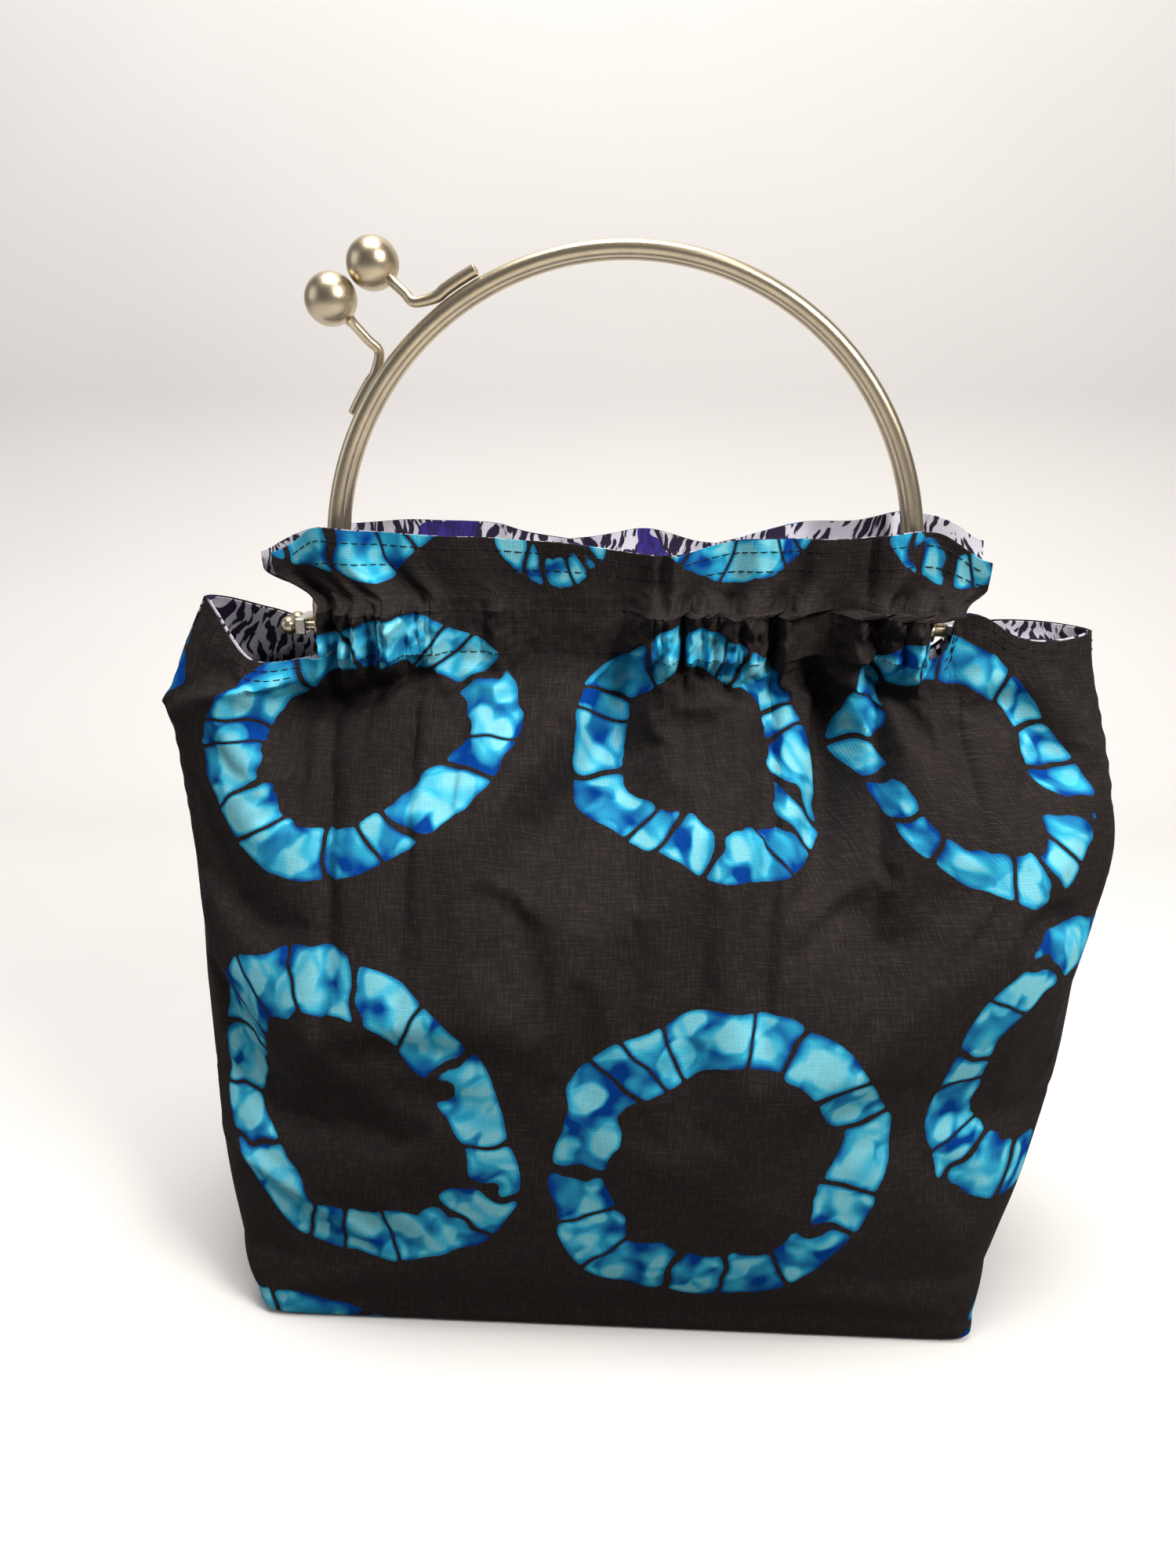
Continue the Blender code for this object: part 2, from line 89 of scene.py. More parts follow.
# Dips in each header's top edge: place, half width and depth
HEADER_DIPS = {"front": ((0.010, 0.013, 0.0042), (-0.006, 0.010, 0.0012), (0.052, 0.012, 0.0006)),
               "back": ((-0.014, 0.014, 0.0050), (0.024, 0.013, 0.0045), (-0.072, 0.012, 0.0028))}
# Waves along that edge, the raised part near each end, and the dropped corners
HEADER_WAVE, HEADER_WAVE_LENGTH = 0.0008, 0.017
HEADER_RISE, HEADER_RISE_PLACE, HEADER_RISE_WIDTH = 0.0022, 0.072, 0.012
CORNER_DROP, CORNER_WIDTH = 0.0046, 0.012
# How far the frill stands out in waves, their length on the flat cloth, and its flare at the ends
FRILL_DEPTH, FRILL_LENGTH, FRILL_START, FRILL_FULL = 0.0011, 0.0120, 0.014, 0.030
END_FLARE = {"front": 0.0022, "back": 0.00132}

EYE_X = ARCH_RADIUS + LEG_SPREAD
BORE_RADIUS = ROD_RADIUS + GAP
CASING_HALF_LENGTH = EYE_X - WIRE_RADIUS - GAP
RIM_HEIGHT = ROD_HEIGHT - CASING_HALF_HEIGHT - GAP
RIM_HALF_DEPTH = 0.0066
TOP_LEFT, TOP_RIGHT = CASING_HALF_LENGTH + WING_LEFT, CASING_HALF_LENGTH + WING_RIGHT
ARCH_CENTRE = ROD_HEIGHT + ARCH_RISE
FOOT_CENTRE_RADIUS = ARCH_RADIUS + WIRE_RADIUS + FOOT_RADIUS
SIDES = {"front": -1, "back": 1}

# Half widths of the left and right sides at heights above the base
OUTLINE_HEIGHTS = (0.000, 0.012, 0.030, 0.050, 0.079, 0.100, 0.120,
                   0.137, 0.150, 0.160, 0.170, 0.182, 0.197)
OUTLINE_LEFT = (0.0975, 0.1032, 0.1072, 0.1106, 0.1141, 0.1160, 0.1176,
                0.1190, 0.1196, 0.1194, 0.1185, 0.1158, 0.1090)
OUTLINE_RIGHT = (0.0985, 0.1008, 0.1060, 0.1132, 0.1212, 0.1253, 0.1296,
                 0.1312, 0.1292, 0.1266, 0.1236, 0.1202, 0.1184)
# How square the outline is, seen from above, at shares of the wall's height
SQUARENESS_AT = (0.0, 0.02, 0.10, 0.35, 0.65, 1.0)
SQUARENESS = (30.0, 16.0, 7.0, 3.0, 2.2, 2.1)

# Cloth
OUTER_WALL, LINING_WALL, LAYER_GAP = 0.00045, 0.00035, 0.00015
COLUMNS, LOWER_ROWS, UPPER_ROWS, CORNER_ROWS = 281, 74, 78, 6
GATHER_START_HEIGHT = 0.108
# Crease of the folded corner of the left wing: its height at the side, how it climbs, and how
# far it stands out at front and back and moves the side seam
FLAP_HEIGHT, FLAP_SLOPE, FLAP_SEAM_SHIFT = 0.1690, 0.20, 0.0052
FLAP_OUT = {"front": 0.0066, "back": 0.00231}
# How quickly it dies away below and above the crease, and at the side seam
FLAP_BELOW, FLAP_ABOVE, FLAP_AT_SEAM = 0.0110, 0.0065, 0.007
HEADER_COLUMNS = 561
THREAD_RADIUS = 0.00015
# Wires: how far a rounded end stands out, as a share of the wire's radius, and the smallest circle
CAP_DEPTH, POLE_RADIUS = 0.35, 1e-7
STITCH_PITCH, STITCH_GAP = 0.0026, 0.0005
# Rows of topstitching, below the top edge of each header and of each wing
HEADER_STITCHING, WING_STITCHING = (0.0027, 0.0062), (0.0022, 0.0044)

# How each panel settles: a coarser copy whose cloth grows a little hangs between its seams
SETTLE_STEP, SETTLE_FRAMES = 2, 30
SETTLE_SETTINGS = {
    "quality": 5, "mass": 0.0004, "use_pressure": True, "uniform_pressure_force": 0.3,
    "tension_stiffness": 20.0, "compression_stiffness": 20.0, "shear_stiffness": 4.0,
    "bending_stiffness": 2.0, "tension_damping": 1.0, "compression_damping": 1.0, "shear_damping": 1.0,
    "bending_damping": 0.1, "air_damping": 1.0, "vertex_group_mass": "pin",
    "vertex_group_shrink": "steady", "shrink_max": 0.0, "shrink_min": -0.050,
}
# Cloth under this height is held, and growth is given to each point in so many levels
SETTLE_HELD_BELOW, SETTLE_LEVELS = 0.008, 50

# Gathered stretches of each casing: from, to and how much cloth is drawn up there
GATHERS = {
    "front": ((-0.078, -0.047, 1.0), (0.004, 0.044, 0.95), (0.056, 0.080, 0.9), (-0.036, -0.026, 0.25)),
    "back": ((-0.080, -0.052, 0.9), (-0.030, 0.006, 1.0), (0.034, 0.074, 0.9)),
}
# What is drawn up everywhere else, how softly a stretch starts and ends, and how much longer the
# cloth is where it is fully gathered
GATHER_BASE, GATHER_SOFT_OUT, GATHER_SOFT_IN, GATHER_FULLNESS = 0.14, 0.005, 0.006, 0.75
FOLD_STRENGTH, FOLD_BEND = 2.0, 0.0025
# Sizes of the gathers: wavelength, depth at the stitching, reach down the panel and up the frill
PLEATS = ((0.0082, 0.00100, 0.004, 0.0025), (0.0128, 0.00180, 0.008, 0.0045),
          (0.0210, 0.00260, 0.018, 0.0080), (0.0350, 0.00320, 0.036, 0.0500))
# Sharp tucks in each header: place, half width and depth
TUCKS = {"front": ((0.0105, 0.0015, 0.0036), (0.0360, 0.0016, 0.0012), (0.0610, 0.0014, 0.0014)),
         "back": ((-0.0140, 0.0014, 0.0020), (0.0240, 0.0014, 0.0018))}
# Crumples round the casing: wavelength, depth, and how far they reach past its two rows of stitching
CRUMPLE_LENGTH, CRUMPLE_DEPTH, CRUMPLE_REACH = 0.0030, 0.0032, 0.0080

# How much longer the cloth is than the wing's edge, and how far the panels' lining lies in above
WING_CLOTH_FULLNESS, PANEL_LINING_INSET = 1.12, 0.0009
# Where the base starts on the flat cloth, below the front panel
BASE_CLOTH_START = -0.038
# Slight waviness of the panels, and the side seams: how far they lie in, how wide, and their pucker
PANEL_WAVE, SEAM_DEPTH, SEAM_WIDTH = 0.0006, 0.0008, 0.0014
PUCKER_DEPTH, PUCKER_LENGTH, PUCKER_WIDTH = 0.00022, 0.0067, 0.005

# Where each gathered top starts and ends its turn with the arch, from the rod's height
BEND_START, BEND_END = -0.0030, 0.0105
# How far each top's lining stays inside the outer cloth: at its ends and in its lower part, and
# how far its ends are moved outwards
TOP_LINING_INSET_ENDS, TOP_LINING_INSET_LOW, TOP_LINING_SHIFT = 0.0012, 0.0010, 0.0038
# How far the lining goes round behind each rod
BEHIND_ROD = 0.0031

# Long folds below the casings: start x and z, end x and z, start and end half
# width, and height outwards (a valley is negative)
FOLDS = {
    "front": (
        (0.002, 0.183, -0.024, 0.128, 0.0030, 0.0080, -0.0036),
        (-0.024, 0.128, -0.034, 0.108, 0.0060, 0.0100, -0.0012),
        (0.046, 0.183, 0.054, 0.128, 0.0032, 0.0085, -0.0042),
        (0.054, 0.128, 0.072, 0.112, 0.0060, 0.0090, -0.0016),
        (0.058, 0.184, 0.080, 0.158, 0.0028, 0.0050, -0.0026),
        (0.070, 0.172, 0.082, 0.132, 0.0080, 0.0140, 0.0026),
        (0.092, 0.176, 0.112, 0.150, 0.0050, 0.0080, -0.0014),
        (-0.052, 0.180, -0.096, 0.166, 0.0028, 0.0065, -0.0034),
        (-0.050, 0.172, -0.080, 0.148, 0.0040, 0.0090, 0.0008),
        (-0.012, 0.176, -0.050, 0.118, 0.0060, 0.0120, 0.0020),
        (0.022, 0.176, 0.020, 0.118, 0.0070, 0.0140, 0.0022),
        (0.100, 0.118, 0.118, 0.124, 0.0035, 0.0050, -0.0014),
        (-0.108, 0.052, -0.052, 0.028, 0.0020, 0.0030, 0.0006),
        (-0.070, 0.088, -0.020, 0.094, 0.0050, 0.0050, -0.0008),
    ),
    "back": (
        (-0.020, 0.183, -0.040, 0.126, 0.0032, 0.0085, -0.0036),
        (0.030, 0.183, 0.050, 0.120, 0.0032, 0.0090, -0.0038),
        (-0.060, 0.180, -0.086, 0.150, 0.0028, 0.0065, -0.0028),
        (0.066, 0.180, 0.096, 0.152, 0.0028, 0.0060, -0.0028),
        (0.004, 0.176, 0.006, 0.112, 0.0070, 0.0140, 0.0022),
        (0.098, 0.116, 0.116, 0.122, 0.0035, 0.0050, -0.0012),
    ),
}

# Printed rings: place across and up the cloth, half width and half height, tilt
# in degrees and a number that varies their cells
RINGS = {
    "front": (
        (-0.0735, 0.1728, 0.0508, 0.0326, 18, 1.9),
        (0.0282, 0.1715, 0.0395, 0.0327, 0, 2.7),
        (0.1065, 0.1669, 0.0315, 0.0340, -8, 4.1),
        (-0.0715, 0.0745, 0.0525, 0.0384, -46, 5.9),
        (0.0242, 0.0655, 0.0448, 0.0455, 10, 7.2),
        (0.1190, 0.0875, 0.0440, 0.0345, 35, 8.3),
        (-0.0720, 0.2590, 0.0480, 0.0445, 0, 21.4),
        (-0.0155, 0.2400, 0.0150, 0.0270, 0, 22.9),
        (0.0400, 0.2490, 0.0340, 0.0320, 0, 23.6),
        (0.0985, 0.2430, 0.0240, 0.0290, 0, 24.2),
        (-0.0920, -0.0255, 0.0440, 0.0380, -10, 25.8),
        (0.0125, -0.0340, 0.0420, 0.0375, 0, 26.5),
        (0.1280, -0.0120, 0.0380, 0.0360, 0, 27.1),
        (-0.1860, 0.1180, 0.0400, 0.0340, 0, 28.7),
        (-0.1680, 0.1850, 0.0380, 0.0300, 0, 29.3),
    ),
    "back": (
        (-0.1120, 0.1560, 0.0360, 0.0340, 10, 11.3),
        (-0.0200, 0.1700, 0.0390, 0.0320, 0, 12.7),
        (0.0760, 0.1660, 0.0430, 0.0340, -15, 14.1),
        (-0.0660, 0.0700, 0.0480, 0.0400, 25, 15.9),
        (0.0360, 0.0680, 0.0440, 0.0430, 5, 17.2),
        (0.1260, 0.0860, 0.0380, 0.0400, 0, 18.8),
        (-0.1580, 0.0660, 0.0360, 0.0400, 0, 19.4),
        (-0.0700, 0.2430, 0.0330, 0.0290, 0, 31.3),
        (0.0240, 0.2450, 0.0350, 0.0310, 0, 32.8),
        (0.1060, 0.2440, 0.0300, 0.0290, 0, 33.2),
        (-0.0200, -0.0320, 0.0420, 0.0370, 0, 34.6),
        (0.0820, -0.0300, 0.0400, 0.0380, 0, 35.9),
    ),
}

# The cells of each ring: how many, how much their walls lean, how uneven and how shaky
# they are, in cells, and how thick the walls are
CELLS_IN_RING = 15
CELL_SLANT, CELL_UNEVENNESS, CELL_SHAKE, CELL_WALL = 5.0, 1.7, 0.22, 0.0014
# The outer line of a ring, in shares of its half sizes, its wide waves and its ripples, and the
# width of its band with how much that varies
RING_OUTLINE, RING_WAVES, RING_RIPPLES = 0.785, 0.34, 0.09
BAND_WIDTH, BAND_SWING = 0.20, 0.30
# How the cells' corners are rounded, in metres: by the ring's lines and by the cells' walls, and
# how far the dye bleeds past them
RING_ROUNDING, CELL_ROUNDING, DYE_BLEED = 0.0022, 0.0026, 0.00016
# Distances between the threads of the weave, and how many threads apart a thick place lies from the next
THREAD_ACROSS, THREAD_UP, SLUB_LENGTH = 0.00062, 0.00047, 9

# Colours as they are written to the shaders
BLACK_DYE = (0.0225, 0.0185, 0.0182)
THREAD_GLINT = (0.085, 0.068, 0.056)
DEEP_BLUE = (0.0020, 0.052, 0.290)
MIDDLE_BLUE = (0.042, 0.500, 0.740)
LIGHT_CYAN = (0.225, 0.660, 0.780)
LINING_WHITE = (0.72, 0.70, 0.78)
LINING_INK = (0.022, 0.014, 0.040)
LINING_PURPLE = (0.045, 0.030, 0.260)
BRASS_LIGHT = (0.60, 0.51, 0.36)
BRASS_DARK = (0.33, 0.28, 0.205)
STEEL, DULL_STEEL = (0.70, 0.68, 0.63), (0.52, 0.50, 0.46)
PAPER_LIGHT, PAPER_DARK, PAPER_UNSEEN = (0.86, 0.835, 0.815), (0.80, 0.775, 0.755), (0.12, 0.115, 0.11)

# Viewpoint of the photograph, with the turns in degrees and the lens in millimetres
CAMERA_PLACE, CAMERA_DOWN, CAMERA_LEFT = (0.00791, -0.30212, 0.24612), 18.187, 3.132
LENS, SENSOR_HEIGHT = 27.0, 36.0


def smooth(value, start, end):
    """Rises smoothly from 0 at start to 1 at end, by 3 t squared less 2 t cubed."""
    share = np.clip((value - start) / (end - start), 0.0, 1.0)
    return share * share * (3.0 - 2.0 * share)


def wander(value, seed):
    """A smooth wavering line between about -1 and 1: three sines whose lengths don't divide."""
    return (0.55 * np.sin(value + seed * 1.7) + 0.30 * np.sin(2.31 * value + seed * 3.1)
            + 0.15 * np.sin(4.87 * value + seed * 5.3))


def smooth_line(at, places, values):
    """Curve through the values at the places: on each span a cubic whose end slopes join its neighbours."""
    places, values = np.asarray(places), np.asarray(values)
    slope = np.gradient(values, places)
    index = np.clip(np.searchsorted(places, at, side="right") - 1, 0, len(places) - 2)
    step = places[index + 1] - places[index]
    t = np.clip((at - places[index]) / step, 0.0, 1.0)
    return (values[index] * (1 + 2 * t) * (1 - t) ** 2 + values[index + 1] * t * t * (3 - 2 * t)
            + step * t * (1 - t) * (slope[index] * (1 - t) - slope[index + 1] * t))


def half_width(height, right):
    """Half width at a height, along the outline of the left or the right side."""
    return np.where(right, smooth_line(height, OUTLINE_HEIGHTS, OUTLINE_RIGHT),
                    smooth_line(height, OUTLINE_HEIGHTS, OUTLINE_LEFT))


def along_wing(share, right):
    """Place along the wing, 0 at the casing's end and 1 at the side seam."""
    top = np.where(right, TOP_RIGHT, TOP_LEFT)
    return (share * top - CASING_HALF_LENGTH) / (top - CASING_HALF_LENGTH)


def rim_height(share, right, back):
    """Height of the mouth: level under the casing, then along each wing's own edge to the side seam."""
    place = along_wing(share, right)
    left_edge, right_edge = (WING_EDGES[hand + ("_back" if back else "_front")] for hand in ("left", "right"))
    return RIM_HEIGHT + np.where(right, smooth_line(place, WING_PLACES, right_edge),
                                 smooth_line(place, WING_PLACES, left_edge))


def distance_along(line):
    """Distance from a line's first point to each of its points."""
    return np.concatenate([[0.0], np.cumsum(np.linalg.norm(np.diff(line, axis=0), axis=1))])


def read_along(wanted, distance, values):
    """The three columns of values at the wanted distances, each joined by straight lines."""
    return np.stack([np.interp(wanted, distance, values[:, axis]) for axis in range(3)], axis=-1)


def catmull_rom(a, b, c, d, t):
    """Cubic from b at t = 0 to c at t = 1, whose slopes there are half of c - a and of d - b."""
    bend = (2 * a - 5 * b + 4 * c - d) * t ** 2 + (3 * b - a - 3 * c + d) * t ** 3
    return 0.5 * (2 * b + (c - a) * t + bend)


def every(step, count):
    """Every so many of a number of rows or columns, with the last one kept."""
    return np.unique(np.append(np.arange(0, count, step), count - 1))


def superellipse(exponent, count=240):
    """Quarter of a superellipse from its front (0, 1) round to its side (1, 0), evenly fed at both ends."""
    corner = 0.5 ** (1 / exponent)
    across = np.linspace(0.0, corner, count)
    depth = (1.0 - across ** exponent) ** (1 / exponent)
    low = np.linspace(corner, 0.0, count)[1:]
    return (np.concatenate([across, (1.0 - low ** exponent) ** (1 / exponent)]),
            np.concatenate([depth, low]))


def wall_row(wall_share, edge_inset, base_height, back, shares):
    """One level of a panel, from one side seam to the other.

    A superellipse, nearly a rectangle at the base, blends upwards into the
    narrow outline of the mouth. It is then cut into steps of equal length.
    """
    side = 1 if back else -1
    exponent = float(np.interp(wall_share, SQUARENESS_AT, SQUARENESS))
    half, depth_share = superellipse(exponent)
    across = np.concatenate([-half[::-1], half[1:]]) * -side
    body = np.concatenate([depth_share[::-1], depth_share[1:]])
    share, right = np.abs(across), across > 0
    top = rim_height(share, right, back)
    height = base_height + wall_share * (top - BASE_EDGE_RADIUS)
    swell = np.sin(math.pi / 2 * np.clip(height / BELLY_DEPTH_HEIGHT, 0.0, 1.0))
    body_depth = BASE_HALF_DEPTH + (BELLY_HALF_DEPTH - BASE_HALF_DEPTH) * swell - edge_inset
    above = np.clip((height - BELLY_DEPTH_HEIGHT) / (top - BELLY_DEPTH_HEIGHT), 0.0, 1.0)
    keep = np.cos(math.pi / 2 * above) ** SHOULDER_POWER
    place = along_wing(share, right)
    mouth = RIM_HALF_DEPTH + (WING_HALF_DEPTH - RIM_HALF_DEPTH) * smooth(place, WING_CLOTH_START, WING_OPEN)
    if not back:
        narrowing = LEFT_MOUTH_NARROWING * smooth(place, LEFT_MOUTH_START, 1.0)
        mouth = mouth * np.where(right, 1.0, 1.0 - narrowing)
    outwards = -np.minimum(body ** exponent, 1 - 1e-12)
    fall = np.sqrt(np.maximum(-np.expm1(8 / exponent * np.log1p(outwards)), 0))
    depth = keep * body_depth * body + (1.0 - keep) * mouth * fall
    points = np.stack([across * (half_width(height, right) - edge_inset), side * depth, height], axis=1)
    steps = distance_along(points)
    return read_along(steps[-1] * (shares + 1) / 2, steps, points), steps[-1] / 2


def gather_density(x, face):
    """How far the cloth is drawn up at x: a plateau with soft ends for each gathered stretch."""
    total = np.full_like(x, GATHER_BASE)
    for start, end, amount in GATHERS[face]:
        rising = smooth(x, start - GATHER_SOFT_OUT, start + GATHER_SOFT_IN)
        total = total + amount * rising * (1 - smooth(x, end - GATHER_SOFT_IN, end + GATHER_SOFT_OUT))
    return total


def cloth_across(x, face):
    """Place across the flat cloth for each x along the casing: the running sum of 1 plus the gathers."""
    line = np.linspace(-0.13, 0.13, 1041)
    drawn = np.cumsum(1.0 + GATHER_FULLNESS * gather_density(line, face)) * (line[1] - line[0])
    drawn = drawn - np.interp(0.0, line, drawn)
    return np.interp(x, line, drawn)


def pleat_height(x, above, face):
    """How far the gathered cloth stands out at x, a height above the casing's lower stitching.

    A sum of rounded ridges across the flat cloth, in four sizes. The small
    ones are pinched at the two rows of stitching and die away from them
    within their own width, where the large ones run on, down into the panel
    and up into the frill. The rows' small ridges don't line up.
    """
    flat = cloth_across(x, face)
    seed = 1.0 if face == "front" else 6.0
    amount = np.clip(gather_density(x, face), 0, 1)
    below, over = np.maximum(-above, 0.0), np.maximum(above - CASING_HEIGHT, 0.0)
    middle = np.maximum(0.5 * CASING_HEIGHT - np.abs(above - 0.5 * CASING_HEIGHT), 0.0)
    rows = smooth(above, 0.2 * CASING_HEIGHT, 0.8 * CASING_HEIGHT)
    total = 0.0
    for index, (length, depth, down, up) in enumerate(PLEATS):
        small = max(0.0, 1 - length / 0.020)
        lean = wander(flat / (2.2 * length), seed + index) * 1.5
        turn = (2 * math.pi * flat / length + lean + 1.1 * wander(above / (2.0 * length), seed + 3 * index)
                + small * 2.4 * rows * wander(flat / (1.4 * length), seed + 5 * index))
        fade = np.exp(-below / down) * np.exp(-over / up) * (1 - 0.55 * small * middle / 0.005)
        pinched, soft = np.abs(np.sin(turn / 2)) ** 0.8, 0.5 - 0.5 * np.cos(turn)
        ridge = pinched + (soft - pinched) * smooth(over, 0.0, 0.0045)
        total = total + depth * 2.0 * fade * amount * ridge
    across, upwards = flat / CRUMPLE_LENGTH, above / (0.9 * CRUMPLE_LENGTH)
    crossed = wander(0.8 * across + 0.4 * upwards, seed + 1.1) * wander(upwards - 0.5 * across, seed + 4.4)
    crumple = 0.5 * wander(across + 1.6 * wander(0.7 * upwards, seed), seed + 2.2) + crossed
    near = smooth(above, -CRUMPLE_REACH, 0.0) * (1 - smooth(over, 0.0, CRUMPLE_REACH))
    return np.maximum(total + CRUMPLE_DEPTH * crumple * near * amount, 0.0)


def fold_height(x, z, face):
    """Height of the long folds: rounded ridges and valleys along straight lines, widening along them."""
    total = np.zeros_like(x)
    for x0, z0, x1, z1, width0, width1, height in FOLDS[face]:
        length = math.hypot(x1 - x0, z1 - z0)
        ax, az = (x1 - x0) / length, (z1 - z0) / length
        along = ((x - x0) * ax + (z - z0) * az) / length
        bend = FOLD_BEND * np.sin(math.pi * np.clip(along, 0, 1) * 1.5)
        off = (x - x0) * az - (z - z0) * ax + bend
        width = width0 + (width1 - width0) * np.clip(along, 0.0, 1.0)
        ends = smooth(along, -0.12, 0.12) * (1.0 - smooth(along, 0.55, 1.15))
        total = total + height * ends * np.exp(-(off / width) ** 2)
    return FOLD_STRENGTH * total


def grid_normals(points):
    """Unit normals of a grid: the cross product of its steps along and up."""
    along = np.gradient(points, axis=1)
    up = np.gradient(points, axis=0)
    normal = np.cross(along, up)
    return normal / np.maximum(np.linalg.norm(normal, axis=2, keepdims=True), 1e-12)


def left_flap(points, face):
    """The folded corner of the left wing: a crease runs level from the side to the casing.

    Above the crease the cloth leans back over the mouth, and below it the
    panel stands out, so the profile is a peak with a straight side above.
    """
    x, z = points[..., 0], points[..., 2]
    crease = FLAP_HEIGHT + FLAP_SLOPE * np.clip(x + 0.124, 0.0, 0.060)
    below, above = np.maximum(crease - z, 0.0), np.maximum(z - crease, 0.0)
    peak = np.exp(-below / FLAP_BELOW) * np.exp(-above / FLAP_ABOVE)
    out = FLAP_OUT[face] * smooth(-x, 0.066, 0.092) * peak
    edge = smooth(-x, 0.104, 0.120)
    moved = points.copy()
    moved[..., 1] += SIDES[face] * out * (1 - edge)
    moved[..., 0] -= edge * FLAP_SEAM_SHIFT * np.exp(-np.abs(z - FLAP_HEIGHT) / FLAP_AT_SEAM)
    return moved


def between_rows(values, places):
    """Values at places between a grid's rows, on Catmull-Rom curves through the rows."""
    padded = np.concatenate([2 * values[:1] - values[1:2], values, 2 * values[-1:] - values[-2:-1]])
    low = np.minimum(places.astype(int), len(values) - 2)
    t = (places - low).reshape(-1, *([1] * (values.ndim - 1)))
    return catmull_rom(*(padded[low + step] for step in range(4)), t)


def settle(points, excess):
    """How far each point of a panel moves as its cloth, a little too large, settles between its seams.

    A copy with every second row and column is pinned along the casing, the
    side seams and the base, and simulated. Its moves are read off it and
    carried to the points between by smooth curves.
    """
    scene = bpy.context.scene
    rows, columns = (every(SETTLE_STEP, count) for count in points.shape[:2])
    start, weight = points[np.ix_(rows, columns)], excess[np.ix_(rows, columns)]
    mesh = bpy.data.meshes.new("settling_cloth")
    mesh.from_pydata(start.reshape(-1, 3).tolist(), [], strip_faces(len(rows), len(columns)).tolist())
    cloth = bpy.data.objects.new("settling_cloth", mesh)
    scene.collection.objects.link(cloth)
    held = np.zeros(weight.shape, dtype=bool)
    held[-3:] = True
    held[:, [0, -1]] = True
    held |= start[..., 2] < SETTLE_HELD_BELOW
    pin = cloth.vertex_groups.new(name="pin")
    pin.add(np.nonzero(held.ravel())[0].tolist(), 1.0, "REPLACE")
    steady = cloth.vertex_groups.new(name="steady")
    levels = np.round((1.0 - weight.ravel()) * SETTLE_LEVELS).astype(int)
    for level in np.unique(levels):
        steady.add(np.nonzero(levels == level)[0].tolist(), float(level) / SETTLE_LEVELS, "REPLACE")
    modifier = cloth.modifiers.new("cloth", "CLOTH")
    for key, value in SETTLE_SETTINGS.items():
        setattr(modifier.settings, key, value)
    modifier.collision_settings.use_collision = False
    modifier.point_cache.frame_start = 1
    modifier.point_cache.frame_end = SETTLE_FRAMES
    for step in range(1, SETTLE_FRAMES + 1):
        scene.frame_set(step)
    settled = cloth.evaluated_get(bpy.context.evaluated_depsgraph_get()).data
    flat = np.empty(start.size, dtype=np.float32)
    settled.vertices.foreach_get("co", flat)
    moved = flat.reshape(start.shape).astype(float) - start
    bpy.data.objects.remove(cloth)
    bpy.data.meshes.remove(mesh)
    scene.frame_set(1)
    row_places = np.interp(np.arange(points.shape[0]), rows, np.arange(len(rows)))
    column_places = np.interp(np.arange(points.shape[1]), columns, np.arange(len(columns)))
    fuller = between_rows(moved, row_places)
    return between_rows(fuller.transpose(1, 0, 2), column_places).transpose(1, 0, 2)


def panel_rows(back, shares):
    """Points of a panel before its folds, level by level from the base's rounded edge, and half lengths."""
    rows = []
    for turn in math.pi / 2 * np.arange(CORNER_ROWS) / CORNER_ROWS:
        inset, rise = BASE_EDGE_RADIUS * (1 - math.sin(turn)), BASE_EDGE_RADIUS * (1 - math.cos(turn))
        rows.append(wall_row(0.0, inset, rise, back, shares))
    middle = (GATHER_START_HEIGHT - BASE_EDGE_RADIUS) / (RIM_HEIGHT - BASE_EDGE_RADIUS)
    walls = np.concatenate([np.linspace(0, middle, LOWER_ROWS, endpoint=False),
                            np.linspace(middle, 1.0, UPPER_ROWS)])
    rows += [wall_row(wall_share, 0.0, BASE_EDGE_RADIUS, back, shares) for wall_share in walls]
    return np.array([row[0] for row in rows]), np.array([row[1] for row in rows])


def panel_cloth(face, points, lengths, shares):
    """Place of each point on the flat cloth: true length across up to the belly, then the gathered width."""
    belly = int(np.argmax(lengths))
    flat_half = np.where(np.arange(len(lengths)) < belly, lengths, lengths[belly])
    top_x = points[-1, :, 0] * -SIDES[face]
    drawn = cloth_across(np.clip(top_x, -CASING_HALF_LENGTH, CASING_HALF_LENGTH), face)
    on_wing = np.maximum(np.abs(top_x) - CASING_HALF_LENGTH, 0.0)
    drawn = drawn + np.sign(top_x) * on_wing * WING_CLOTH_FULLNESS
    drawn = drawn / np.abs(drawn[[0, -1]]).mean()
    mix = smooth(np.arange(len(lengths)), belly, len(lengths) - 1)[:, None]
    cloth_u = flat_half[:, None] * (shares[None, :] * (1 - mix) + drawn[None, :] * mix)
    rise = np.linalg.norm(np.diff(points, axis=0), axis=2)
    return cloth_u, np.concatenate([np.zeros((1, COLUMNS)), np.cumsum(rise, axis=0)])


